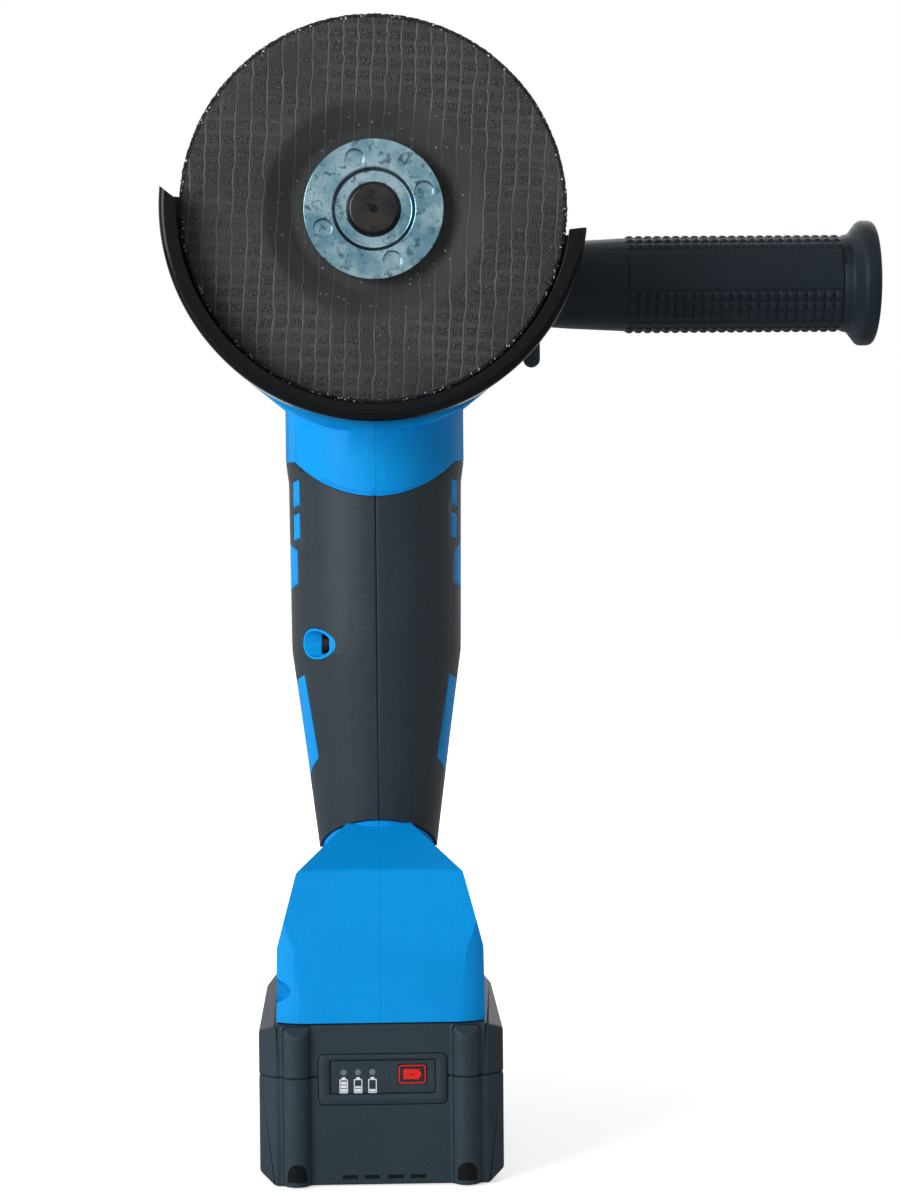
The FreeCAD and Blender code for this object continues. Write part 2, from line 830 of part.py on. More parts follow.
def make_gears():
    """A straight bevel pair whose axes cross at the spindle height."""
    module = size("gear_module")
    angle = math.radians(size("pressure_angle"))
    gear_radius = size("ring_pitch_radius")
    pinion_radius = size("pinion_pitch_radius")
    outer = math.hypot(gear_radius, pinion_radius)
    inner = outer - size("face_width")
    root = 1.25 * module
    ring_slope = math.degrees(math.atan2(gear_radius, pinion_radius))
    apex = size("spindle_height")

    root_outer = cone_point(gear_radius, pinion_radius, outer, root)
    root_inner = cone_point(gear_radius, pinion_radius, inner, root * inner / outer)
    bore = size("spindle_radius + seat_gap")
    back = size("ring_back")
    hub = size("ring_hub_radius")
    hub_front = root_inner.y - size("ring_hub_length")
    outline = [(bore, hub_front), (hub, hub_front), (hub, root_inner.y),
               (root_inner.x, root_inner.y), (root_outer.x, root_outer.y),
               (root_outer.x, root_outer.y + size("ring_heel")),
               (root_outer.x - size("ring_back_chamfer"), back), (bore, back)]
    blank = Part.Face(Part.makePolygon([vector(radius, 0, forward) for radius, forward
                                        in outline + outline[:1]])).revolve(
        vector(0, 0, 0), vector(0, 0, 1), 360)
    section = ring_tooth_section(module, root, angle, size("tooth_backlash"))
    one = tooth(section, outer, inner)
    # The tooth's own +Z, drawn from the apex, is laid along the mesh line below the spindle.
    one.rotate(vector(0, 0, 0), vector(1, 0, 0), ring_slope)
    teeth = []
    count = int(size("ring_teeth"))
    for step in range(count):
        copy = one.copy()
        copy.rotate(vector(0, 0, 0), vector(0, 0, 1), 360 * (step + 0.5) / count)
        teeth.append(copy)
    ring = blank.multiFuse(teeth)
    holes = int(size("lock_hole_count"))
    for step in range(holes):
        turn_angle = math.radians(90 + 360 * step / holes)
        reach = size("lock_pin_reach")
        hole = Part.makeCylinder(size("lock_hole_radius"), size("ring_back + 1"), vector(
            reach * math.cos(turn_angle), reach * math.sin(turn_angle), 0))
        ring = ring.cut(hole)
    item = document.addObject("Part::Feature", "ring_gear")
    item.Shape = ring.removeSplitter()
    put(item, SPINDLE)

    # Pinion: heights are world heights, so the apex is at the top.
    pinion_root_outer = cone_point(gear_radius, pinion_radius, outer, -root)
    pinion_root_inner = cone_point(gear_radius, pinion_radius, inner, -root * inner / outer)
    hub = size("pinion_hub_radius")
    bore = size("pinion_bore + seat_gap")
    base = size("front_bearing_top + pinion_stand")
    shoulder = apex - pinion_root_outer.x - 1
    outline = [(bore, base), (hub, base), (hub, shoulder),
               (pinion_root_outer.y, apex - pinion_root_outer.x),
               (pinion_root_inner.y, apex - pinion_root_inner.x), (bore, apex - pinion_root_inner.x)]
    blank = Part.Face(Part.makePolygon([vector(radius, 0, height) for radius, height
                                        in outline + outline[:1]])).revolve(
        vector(0, 0, 0), vector(0, 0, 1), 360)
    virtual_radius = pinion_radius * outer / gear_radius
    section = pinion_tooth_section(module, root, angle, size("tooth_backlash"), virtual_radius)
    one = tooth(section, outer, inner)
    # From the apex the tooth's line runs down and forward; its height points away from the shaft.
    one.rotate(vector(0, 0, 0), vector(1, 0, 0), 180)
    one.rotate(vector(0, 0, 0), vector(1, 0, 0), -(90 - ring_slope))
    one.translate(vector(0, 0, apex))
    teeth = []
    count = int(size("pinion_teeth"))
    for step in range(count):
        copy = one.copy()
        copy.rotate(vector(0, 0, 0), vector(0, 0, 1), 360 * step / count)
        teeth.append(copy)
    item = document.addObject("Part::Feature", "pinion")
    item.Shape = blank.multiFuse(teeth).removeSplitter()


# gear head

def square_with_round_corners(half, corner):
    """The outline of a square, anticlockwise, about the sketch's origin."""
    straight = "%s - %s" % (half, corner)
    return [
        ("-(%s)" % straight, "-" + half),
        (straight, "-" + half, corner),
        (half, "-(%s)" % straight),
        (half, straight, corner),
        (straight, half),
        ("-(%s)" % straight, half, corner),
        ("-" + half, straight),
        ("-" + half, "-(%s)" % straight, corner),
    ]


def corner_spots(reach):
    """Four places at the corners of a square."""
    return [(side * reach, other * reach) for side in (-1, 1) for other in (-1, 1)]


def holes_along_y(name, spots, radius, start, end):
    """Cylinders along -Y at (x, z) places, from one distance forward to another."""
    return loose(name, [
        Part.makeCylinder(radius, end - start, vector(x, -start, z), vector(0, -1, 0))
        for x, z in spots])


def holes_along_z(name, spots, radius, base, top):
    return loose(name, [Part.makeCylinder(radius, top - base, vector(x, y, base)) for x, y in spots])


def make_gear_case():
    """Die-cast head: a square barrel about the spindle, standing on a flange over the motor."""
    low = "housing_top - spindle_height"
    high = "case_top - spindle_height"
    barrel = prism("case_barrel", SPINDLE, "XY_Plane", [[
        ("-case_half_width", low),
        ("case_half_width", low),
        ("case_half_width", high + " - case_corner", "case_corner"),
        ("case_half_width - case_corner", high),
        ("-(case_half_width - case_corner)", high, "case_corner"),
        ("-case_half_width", high + " - case_corner"),
    ]], "-case_back", "box_flange_back")
    flange = prism("case_flange", WORLD, "XY_Plane",
                   [square_with_round_corners("case_flange_half", "case_corner / 2")],
                   "housing_top", "case_flange_top")
    boss = rod("case_handle_boss", "x", "handle_boss_radius", ("0", "handle_height"),
               ("-handle_boss_face", "handle_boss_face"))
    solid = combine("Fuse", "case_solid", [barrel, flange, boss])
    height = "spindle_height"
    gear_room = rod("case_gear_room", "y", "case_cavity_radius", ("0", height),
                    ("-box_flange_back - 1", "case_cavity_back"))
    shaft_way = rod("case_shaft_way", "z", "case_bore_radius", ("0", "0"),
                    ("housing_top - 1", "spindle_height"))
    bearing_seat = rod("case_bearing_seat", "z", "small_bearing_radius + seat_gap", ("0", "0"),
                       ("housing_top - 1", "front_bearing_top"))
    sleeve_seat = rod("case_sleeve_seat", "y", "spindle_tail_radius + sleeve_wall + seat_gap", ("0", height),
                      ("case_cavity_back - 1", "spindle_tail_end + 1"))
    pin_height = "spindle_height + lock_pin_reach"
    pin_way = rod("case_pin_way", "y", "lock_pin_radius + running_gap", ("0", pin_height),
                  ("0", "case_back + 1"))
    spring_seat = rod("case_spring_seat", "y", "lock_spring_radius + slide_gap", ("0", pin_height),
                      ("case_cavity_back + lock_spring_seat", "case_back + 1"))
    stud_right = rod("case_stud_hole", "x", "stud_radius + running_gap", ("0", "handle_height"),
                     ("handle_start - stud_length - 2", "handle_boss_face + 1"))
    stud_left = rod("case_free_hole", "x", "stud_radius + running_gap", ("0", "handle_height"),
                    ("-handle_boss_face - 1", "stud_length + 2 - handle_start"))
    front_spots = [(x, size("spindle_height") + rise) for x, rise in corner_spots(size("case_screw_reach"))]
    screw_reach = size("case_screw_length - box_flange_thickness + 1")
    front_holes = holes_along_y("case_front_holes", front_spots, size("case_screw_radius + seat_gap"),
                                size("box_flange_back") - screw_reach, size("box_flange_back") + 1)
    flange_spots = corner_spots(size("flange_screw_reach"))
    flange_holes = holes_along_z("case_flange_holes", flange_spots, size("case_screw_radius + seat_gap"),
                                 size("housing_top") - 1, size("case_flange_top") + 1)
    pockets = holes_along_z("case_screw_pockets", flange_spots,
                            size("case_screw_head_radius + slide_gap"),
                            size("case_flange_top"), size("case_flange_top + case_screw_head + 8"))
    return cut("gear_case", solid, gear_room, shaft_way, bearing_seat, sleeve_seat, pin_way,
               spring_seat, stud_right, stud_left, front_holes, flange_holes, pockets)


def make_bearing_box():
    """Cover of the gear room: it holds the main bearing and its neck carries the guard."""
    body = new_body("bearing_box_body", SPINDLE)
    pad(body, "XY_Plane", [square_with_round_corners("box_half_width", "case_corner")],
        "box_flange_back", "box_flange_front")
    turn(body, [
        ("0", "main_bearing_back"),
        ("box_spigot_radius", "main_bearing_back"),
        ("box_spigot_radius", "box_flange_back"),
        ("box_boss_radius", "box_flange_back"),
        ("box_boss_radius", "box_boss_front"),
        ("0", "box_boss_front"),
    ])
    turn(body, [
        ("0", "main_bearing_back - 1"),
        ("main_bearing_radius + seat_gap", "main_bearing_back - 1"),
        ("main_bearing_radius + seat_gap", "main_bearing_front"),
        ("box_neck_bore", "main_bearing_front"),
        ("box_neck_bore", "box_boss_front + 1"),
        ("0", "box_boss_front + 1"),
    ], "Groove")
    spots = [(x, size("spindle_height") + rise) for x, rise in corner_spots(size("case_screw_reach"))]
    holes = holes_along_y("box_screw_holes", spots, size("case_screw_radius + seat_gap"),
                          size("box_flange_back") - 1, size("box_flange_front") + 1)
    sinks = holes_along_y("box_screw_sinks", spots, size("case_screw_head_radius + slide_gap"),
                          size("box_flange_front - case_screw_head / 2"), size("box_flange_front") + 1)
    return cut("bearing_box", body, holes, sinks)


def make_head_fasteners():
    screw = screw_shape(size("case_screw_radius"), size("case_screw_length - case_screw_head / 2"),
                        size("case_screw_head_radius"), size("case_screw_head"))
    front = -size("box_flange_front - case_screw_head / 2")
    loose("bearing_box_screws", [
        placed(screw, x, front, size("spindle_height") + rise, FACING["-y"])
        for x, rise in corner_spots(size("case_screw_reach"))])
    loose("gear_case_screws", [
        placed(screw, x, y, size("case_flange_top"))
        for x, y in corner_spots(size("flange_screw_reach"))])
    turned("bearing_retainer", SPINDLE, [
        ("retainer_bore", "main_bearing_back - retainer_thickness"),
        ("box_spigot_radius - 1", "main_bearing_back - retainer_thickness"),
        ("box_spigot_radius - 1", "main_bearing_back"),
        ("retainer_bore", "main_bearing_back"),
    ])
    turned("needle_sleeve", SPINDLE, [
        ("spindle_tail_radius + running_gap", "-spindle_tail_end"),
        ("spindle_tail_radius + sleeve_wall", "-spindle_tail_end"),
        ("spindle_tail_radius + sleeve_wall", "-spindle_tail_start - seat_gap"),
        ("spindle_tail_radius + running_gap", "-spindle_tail_start - seat_gap"),
    ])


def spring_coil(coil_radius, wire_radius, height, turns):
    """A round-wire coil about local Z with its wire inside the stated height."""
    helix = Part.makeHelix((height - 2 * wire_radius) / turns, height - 2 * wire_radius, coil_radius)
    ring = Part.Wire(Part.makeCircle(wire_radius, vector(coil_radius, 0, 0), vector(0, 1, 0)))
    coil = Part.Wire(helix).makePipeShell([ring], True, True)
    coil.translate(vector(0, 0, wire_radius))
    return coil


def make_spindle_lock():
    """Pushing the button at the back of the head drives its pin into a hole in the ring gear."""
    pin_height = "spindle_height + lock_pin_reach"
    tip = "-(ring_web_face - lock_pin_stand_off)"
    cap = rod("lock_cap", "y", "lock_button_radius", ("0", pin_height),
              ("lock_button_base", "lock_button_base + lock_button_height"))
    socket = rod("lock_cap_socket", "y", "lock_pin_radius", ("0", pin_height),
                 ("lock_button_base - 1", "lock_button_base + lock_button_height / 2"))
    cut("spindle_lock_button", cap, socket)
    rod("spindle_lock_pin", "y", "lock_pin_radius", ("0", pin_height),
        (tip, "lock_button_base + lock_button_height / 2"))
    seat = size("case_cavity_back + lock_spring_seat + seat_gap")
    coil = spring_coil(size("lock_spring_radius - lock_spring_wire"), size("lock_spring_wire"),
                       size("lock_button_base - lock_travel") - seat, 5)
    loose("spindle_lock_spring", [placed(coil, 0, seat, size(pin_height), FACING["+y"])])


# wheel guard and its lever

def make_guard():
    """Half a drum of pressed sheet round the wheel, on a collar that turns on the bearing box."""
    drum = turned("guard_drum", SPINDLE, [
        ("box_boss_radius + running_gap", "guard_back"),
        ("guard_radius", "guard_back"),
        ("guard_radius", "guard_front"),
        ("guard_lip_radius", "guard_front"),
        ("guard_lip_radius", "guard_front - guard_sheet"),
        ("guard_radius - guard_sheet", "guard_front - guard_sheet"),
        ("guard_radius - guard_sheet", "guard_back + guard_sheet"),
        ("box_boss_radius + running_gap", "guard_back + guard_sheet"),
    ])
    reach = "guard_radius * 1.2"
    across = "%s * cos(guard_turn * 1 deg)" % reach
    rise = "%s * sin(guard_turn * 1 deg)" % reach
    open_side = prism("guard_open_side", SPINDLE, "XY_Plane", [[
        ("-(%s)" % across, "-(%s)" % rise),
        (across, rise),
        ("%s - %s" % (across, rise), "%s + %s" % (rise, across)),
        ("-(%s) - %s" % (across, rise), "-(%s) + %s" % (rise, across)),
    ]], "guard_back - 1", "guard_front + 1")
    collar = turned("guard_collar", SPINDLE, [
        ("box_boss_radius + running_gap", "box_flange_front + guard_collar_gap"),
        ("guard_collar_radius", "box_flange_front + guard_collar_gap"),
        ("guard_collar_radius", "guard_back"),
        ("guard_web_radius", "guard_back"),
        ("guard_web_radius", "guard_back + guard_sheet"),
        ("box_boss_radius + running_gap", "guard_back + guard_sheet"),
    ])
    body = combine("Fuse", "guard_body", [cut("guard_half", drum, open_side), collar])
    return cut("guard", body, lever_pin_rod("guard_pin_hole", "lever_pin_radius + seat_gap", "1"))


PIVOT_X = "lever_pivot_reach * cos(lever_pivot_angle * 1 deg)"
PIVOT_RISE = "lever_pivot_reach * sin(lever_pivot_angle * 1 deg)"


def lever_pin_rod(name, radius, extra):
    front = "guard_back + guard_sheet + " + extra
    back = "guard_back - slide_gap - lever_thickness - " + extra
    return prism(name, SPINDLE, "XY_Plane", [(PIVOT_X, PIVOT_RISE, radius)], back, front)


def make_guard_lever():
    """Quick-release lever behind the guard: an eye, an arm outward and a thumb tab hanging down."""
    body = new_body("guard_lever_body", SPINDLE)
    front = "guard_back - slide_gap"
    back = "guard_back - slide_gap - lever_thickness"
    half = "lever_width / 2"
    pad(body, "XY_Plane", [(PIVOT_X, PIVOT_RISE, "lever_eye_radius")], back, front)
    pad(body, "XY_Plane", [[
        ("lever_tip_reach - " + half, "%s - lever_tip_drop" % half),
        ("lever_tip_reach + " + half, "%s - lever_tip_drop" % half),
        ("lever_tip_reach + " + half, PIVOT_RISE + " - lever_width"),
        (PIVOT_X, PIVOT_RISE + " + lever_eye_radius"),
        (PIVOT_X, PIVOT_RISE + " - lever_eye_radius"),
        ("lever_tip_reach - " + half, PIVOT_RISE + " - 2 * lever_width"),
    ]], back, front)
    pad(body, "XY_Plane", [("lever_tip_reach", "%s - lever_tip_drop" % half, half)], back, front)
    cut("guard_lever", body, lever_pin_rod("lever_eye_hole", "lever_pin_radius + running_gap", "1"))
    lever_pin_rod("lever_pin", "lever_pin_radius", "0.6")


# side handle

def make_side_handle():
    turned("handle_core", HANDLE, [
        ("stud_radius + seat_gap", "handle_start"),
        ("handle_collar_radius", "handle_start"),
        ("handle_collar_radius", "handle_start + handle_collar_length"),
        ("handle_core_radius", "handle_start + handle_collar_length"),
        ("handle_core_radius", "handle_grip_end"),
        ("0", "handle_grip_end"),
        ("0", "handle_start + stud_depth + seat_gap"),
        ("stud_radius + seat_gap", "handle_start + stud_depth + seat_gap"),
    ])
    turned("handle_stud", HANDLE, [
        ("0", "handle_start - stud_length"),
        ("stud_radius - 1", "handle_start - stud_length"),
        ("stud_radius", "handle_start - stud_length + 1"),
        ("stud_radius", "handle_start + stud_depth"),
        ("0", "handle_start + stud_depth"),
    ])
    turned("handle_grip", HANDLE, [
        ("handle_core_radius + seat_gap", "handle_start + handle_collar_length + seat_gap"),
        ("handle_neck_radius", "handle_start + handle_collar_length + seat_gap"),
        ("handle_neck_radius", "handle_neck_end"),
        ("handle_swell_radius", "handle_swell_start"),
        ("handle_grip_radius", "handle_grip_start"),
        ("handle_grip_radius", "handle_grip_end"),
        ("handle_flange_radius", "handle_flange_start"),
        ("handle_flange_radius", "handle_end"),
        ("0", "handle_end"),
        ("0", "handle_grip_end + seat_gap"),
        ("handle_core_radius + seat_gap", "handle_grip_end + seat_gap"),
    ])


# motor

def make_rotor():
    turned("motor_shaft", WORLD, [
        ("0", "rear_bearing_base - shaft_tail"),
        ("shaft_radius", "rear_bearing_base - shaft_tail"),
        ("shaft_radius", "front_bearing_top + pinion_stand"),
        ("pinion_bore", "front_bearing_top + pinion_stand"),
        ("pinion_bore", "pinion_top + pinion_nut_height + 0.4"),
        ("0", "pinion_top + pinion_nut_height + 0.4"),
    ])
    turned("rotor_core", WORLD, [
        ("shaft_radius + seat_gap", "stator_base"),
        ("rotor_radius", "stator_base"),
        ("rotor_radius", "stator_top"),
        ("shaft_radius + seat_gap", "stator_top"),
    ])
    count = int(size("magnet_count"))
    inner = size("rotor_radius + seat_gap")
    length = size("stator_length")
    arc = 360 / count - 8
    magnet = Part.makeCylinder(inner + size("magnet_thickness"), length, vector(0, 0, 0),
                               vector(0, 0, 1), arc).cut(Part.makeCylinder(inner, length))
    loose("rotor_magnets", [
        placed(magnet, 0, 0, size("stator_base"), FreeCAD.Rotation(vector(0, 0, 1), 360 * step / count))
        for step in range(count)])
    hexagon = [("pinion_nut_radius * cos(%d deg)" % (60 * step),
                "pinion_nut_radius * sin(%d deg)" % (60 * step)) for step in range(6)]
    prism("pinion_nut", WORLD, "XY_Plane", [hexagon, ("0", "0", "pinion_bore + seat_gap")],
          "pinion_top + seat_gap", "pinion_top + pinion_nut_height")


def make_stator():
    body = new_body("motor_stator")
    turn(body, [
        ("stator_radius - stator_yoke", "stator_base"),
        ("stator_radius", "stator_base"),
        ("stator_radius", "stator_top"),
        ("stator_radius - stator_yoke", "stator_top"),
    ])
    one = pad(body, "XY_Plane", [[
        ("stator_bore", "-shoe_half_width"),
        ("stator_bore + shoe_height", "-shoe_half_width"),
        ("stator_bore + shoe_height", "-tooth_half_width"),
        ("stator_radius - stator_yoke / 2", "-tooth_half_width"),
        ("stator_radius - stator_yoke / 2", "tooth_half_width"),
        ("stator_bore + shoe_height", "tooth_half_width"),
        ("stator_bore + shoe_height", "shoe_half_width"),
        ("stator_bore", "shoe_half_width"),
    ]], "stator_base", "stator_top")
    ring_of_copies(body, one, "slot_count")
    overhang = size("coil_overhang")
    length = size("stator_length")
    start = size("stator_bore + shoe_height + 2 * seat_gap")
    depth = size("stator_radius - stator_yoke - 1") - start
    gap = size("seat_gap")
    outer = size("coil_half_width")
    inner = size("tooth_half_width + seat_gap")
    coil = Part.makeBox(depth, 2 * outer, length + 2 * overhang, vector(start, -outer, -overhang))
    coil = coil.cut(Part.makeBox(depth, 2 * inner, length + 2 * gap, vector(start, -inner, -gap)))
    count = int(size("slot_count"))
    loose("motor_coils", [
        placed(coil, 0, 0, size("stator_base"), FreeCAD.Rotation(vector(0, 0, 1), 360 * step / count))
        for step in range(count)])
    turned("sensor_board", WORLD, [
        ("stator_bore + 1", "motor_floor + seat_gap"),
        ("stator_radius", "motor_floor + seat_gap"),
        ("stator_radius", "motor_floor + board_thickness"),
        ("stator_bore + 1", "motor_floor + board_thickness"),
    ])


def make_fan():
    body = new_body("cooling_fan")
    turn(body, [
        ("shaft_radius + seat_gap", "fan_base"),
        ("fan_radius", "fan_base"),
        ("fan_radius", "fan_base + fan_plate"),
        ("shaft_radius + fan_hub_wall", "fan_base + fan_plate"),
        ("shaft_radius + fan_hub_wall", "fan_base + fan_height"),
        ("shaft_radius + seat_gap", "fan_base + fan_height"),
    ])
    blade = pad(body, "XY_Plane", [[
        ("shaft_radius + fan_hub_wall - 1", "-fan_blade_half"),
        ("fan_radius - 0.2", "-fan_blade_half"),
        ("fan_radius - 0.2", "fan_blade_half"),
        ("shaft_radius + fan_hub_wall - 1", "fan_blade_half"),
    ]], "fan_base + fan_plate - 0.5", "fan_base + fan_height")
    ring_of_copies(body, blade, "fan_blades")
    turned("fan_baffle", WORLD, [
        ("stator_radius - 6", "baffle_base"),
        ("fan_chamber_radius - seat_gap", "baffle_base"),
        ("fan_chamber_radius - seat_gap", "baffle_base + baffle_thickness"),
        ("stator_radius - 6", "baffle_base + baffle_thickness"),
    ])


# housing, grip and foot

# Screws that close the two housing halves, driven from the left (-X) side: the place of each
# across (y) and up (z), and how far left of the parting plane its head is seated.
HOUSING_SCREWS = [
    ("-grip_screw_reach", "grip_screw_height", "grip_screw_seat"),
    ("grip_screw_reach", "grip_screw_height", "grip_screw_seat"),
    ("waist_screw_reach", "waist_screw_height", "waist_screw_seat"),
    ("foot_screw_inset - foot_front", "foot_screw_height", "foot_screw_seat"),
    ("foot_back - back_screw_inset", "back_screw_height", "back_screw_seat"),
]

# Outer surface of the grip and motor housing as (radius, height), from the waist up.
GRIP_OUTLINE = [
    ("waist_radius", "waist_height"),
    ("palm_radius", "palm_height"),
    ("swell_radius", "swell_height"),
    ("grip_radius", "grip_top"),
    ("neck_radius", "neck_base"),
]


def under_the_hem(name):
    """The space under the skin's lower edge, which falls from front and back toward the sides."""
    far = "2 * palm_radius"
    top = "waist_height + hem_rise * (%s - hem_flat) / (waist_radius - hem_flat)" % far
    return prism(name, WORLD, "YZ_Plane", [[
        ("-(%s)" % far, "foot_crown - 3"), (far, "foot_crown - 3"), (far, top),
        ("hem_flat", "waist_height"), ("-hem_flat", "waist_height"), ("-(%s)" % far, top),
    ]], "-palm_radius", "palm_radius")


def make_cover_ring():
    """The soft skin on the grip as one ring, with its windows: both cover halves come from it."""
    inner = [("%s - cover_thickness" % radius, height) for radius, height in reversed(GRIP_OUTLINE)]
    ring = turned("cover_blank", WORLD, GRIP_OUTLINE + inner)
    arch = rod("cover_arch", "y", "cover_arc_radius", ("0", "cover_arc_bottom + cover_arc_radius"),
               ("-foot_front", "foot_front"))
    openings = [arch, under_the_hem("cover_hem")]
    panel = [("-panel_reach", "panel_base + panel_base_fall"), ("panel_reach", "panel_base - panel_base_fall"),
             ("panel_reach", "panel_top - panel_top_fall"), ("-panel_reach", "panel_top + panel_top_fall")]
    window = [("-window_reach", "window_base + window_slant"), ("0", "window_base"),
              ("window_reach", "window_base + window_slant"), ("window_reach", "window_top - window_slant"),
              ("0", "window_top"), ("-window_reach", "window_top - window_slant")]
    outlines = {"panel": ("panel_inset", panel), "window": ("neck_radius / 2", window)}
    for part in ("upper", "lower"):
        base = part + "_slot_base"
        outlines[part + "_slot"] = ("neck_radius / 2", [
            ("-slot_front", base), ("slot_width - slot_front", base + " - slot_slant"),
            ("slot_width - slot_front", base + " + slot_length - slot_slant"),
            ("-slot_front", base + " + slot_length")])
    for part, (start, outline) in outlines.items():
        openings.append(prism("cover_%s_right" % part, WORLD, "YZ_Plane", [outline], start, "foot_front"))
        openings.append(prism("cover_%s_left" % part, WORLD, "YZ_Plane", [outline], "-foot_front", "-(%s)" % start))
    openings.append(rod("cover_well", "x", "screw_well_radius + 0.6",
                        ("-grip_screw_reach", "grip_screw_height"), ("-foot_front", "0")))
    openings.append(rod("cover_back_wells", "x", "screw_well_radius + 0.6",
                        ("grip_screw_reach", "grip_screw_height"), ("-foot_front", "0")))
    openings.append(rod("cover_waist_well", "x", "screw_well_radius",
                        ("waist_screw_reach", "waist_screw_height"), ("-foot_front", "0")))
    openings.append(switch_slot("cover_switch_slot"))
    return cut("cover_ring", ring, *openings)


def switch_slot(name):
    """The way through the back of the grip that the switch slides in."""
    return box(name, ("-switch_half_width - slide_gap", "switch_half_width + slide_gap"),
               ("palm_radius / 2", "foot_front"),
               ("switch_base - slide_gap", "switch_base + switch_length + switch_travel + slide_gap"))


def on_tilted_roof(height):
    """A height at the front crown, as measured across the tilted outline of the foot's sides."""
    depth = "(foot_front - crown_front_inset)"
    return "(%s) * cos(roof_tilt * 1 deg) - %s * sin(roof_tilt * 1 deg)" % (height, depth)


def foot_block(name, wall, base):
    """The foot over the battery: leaning sides under a hipped roof that falls toward the back,
    on a plan with round corners, all drawn in by wall."""
    sides = prism(name + "_sides", WORLD, "XZ_Plane", [[
        ("%s - foot_half_width" % wall, "foot_base / 2"),
        ("foot_half_width - %s" % wall, "foot_base / 2"),
        ("foot_shoulder_half - %s" % wall, on_tilted_roof("foot_shoulder")),
        ("foot_crown_half - %s" % wall, on_tilted_roof("foot_crown - %s / 2" % wall)),
        ("0", on_tilted_roof("roof_side_peak - %s * 1.3" % wall)),
        ("%s - foot_crown_half" % wall, on_tilted_roof("foot_crown - %s / 2" % wall)),
        ("%s - foot_shoulder_half" % wall, on_tilted_roof("foot_shoulder")),
    ]], "-2 * foot_front", "2 * foot_back")
    sides.Placement = FreeCAD.Placement(vector(0, 0, 0), FreeCAD.Rotation(vector(-1, 0, 0), 1))
    sides.setExpression("Placement.Rotation.Angle", bound("roof_tilt * 1 deg"))
    length = prism(name + "_length", WORLD, "YZ_Plane", [[
        ("%s - foot_front" % wall, base),
        ("foot_back - %s" % wall, base),
        ("foot_back - shoulder_back_inset - %s" % wall, "foot_shoulder - crown_back_drop"),
        ("foot_back - crown_back_inset - %s" % wall, "foot_crown - crown_back_drop"),
        ("0", "roof_front_peak - %s * 1.6" % wall),
        ("%s + crown_front_inset - foot_front" % wall, "foot_crown + crown_front_rise"),
        ("%s + shoulder_front_inset - foot_front" % wall, "foot_shoulder"),
    ]], "-foot_half_width - 1", "foot_half_width + 1")
    straight = "foot_half_width - foot_corner"
    corner = "foot_corner - %s" % wall
    bend = "foot_front_bend - %s" % wall
    side_front = "%s + foot_front_fall - foot_front" % wall
    plan = prism(name + "_plan", WORLD, "XY_Plane", [[
        ("-(%s)" % straight, "%s - foot_front" % wall),
        (straight, "%s - foot_front" % wall, bend),
        ("foot_half_width - %s" % wall, side_front),
        ("foot_half_width - %s" % wall, "foot_back - foot_corner", corner),
        (straight, "foot_back - %s" % wall),
        ("-(%s)" % straight, "foot_back - %s" % wall, corner),
        ("%s - foot_half_width" % wall, "foot_back - foot_corner"),
        ("%s - foot_half_width" % wall, side_front, bend),
    ]], base, "roof_front_peak")
    return combine("Common", name, [sides, length, plan])


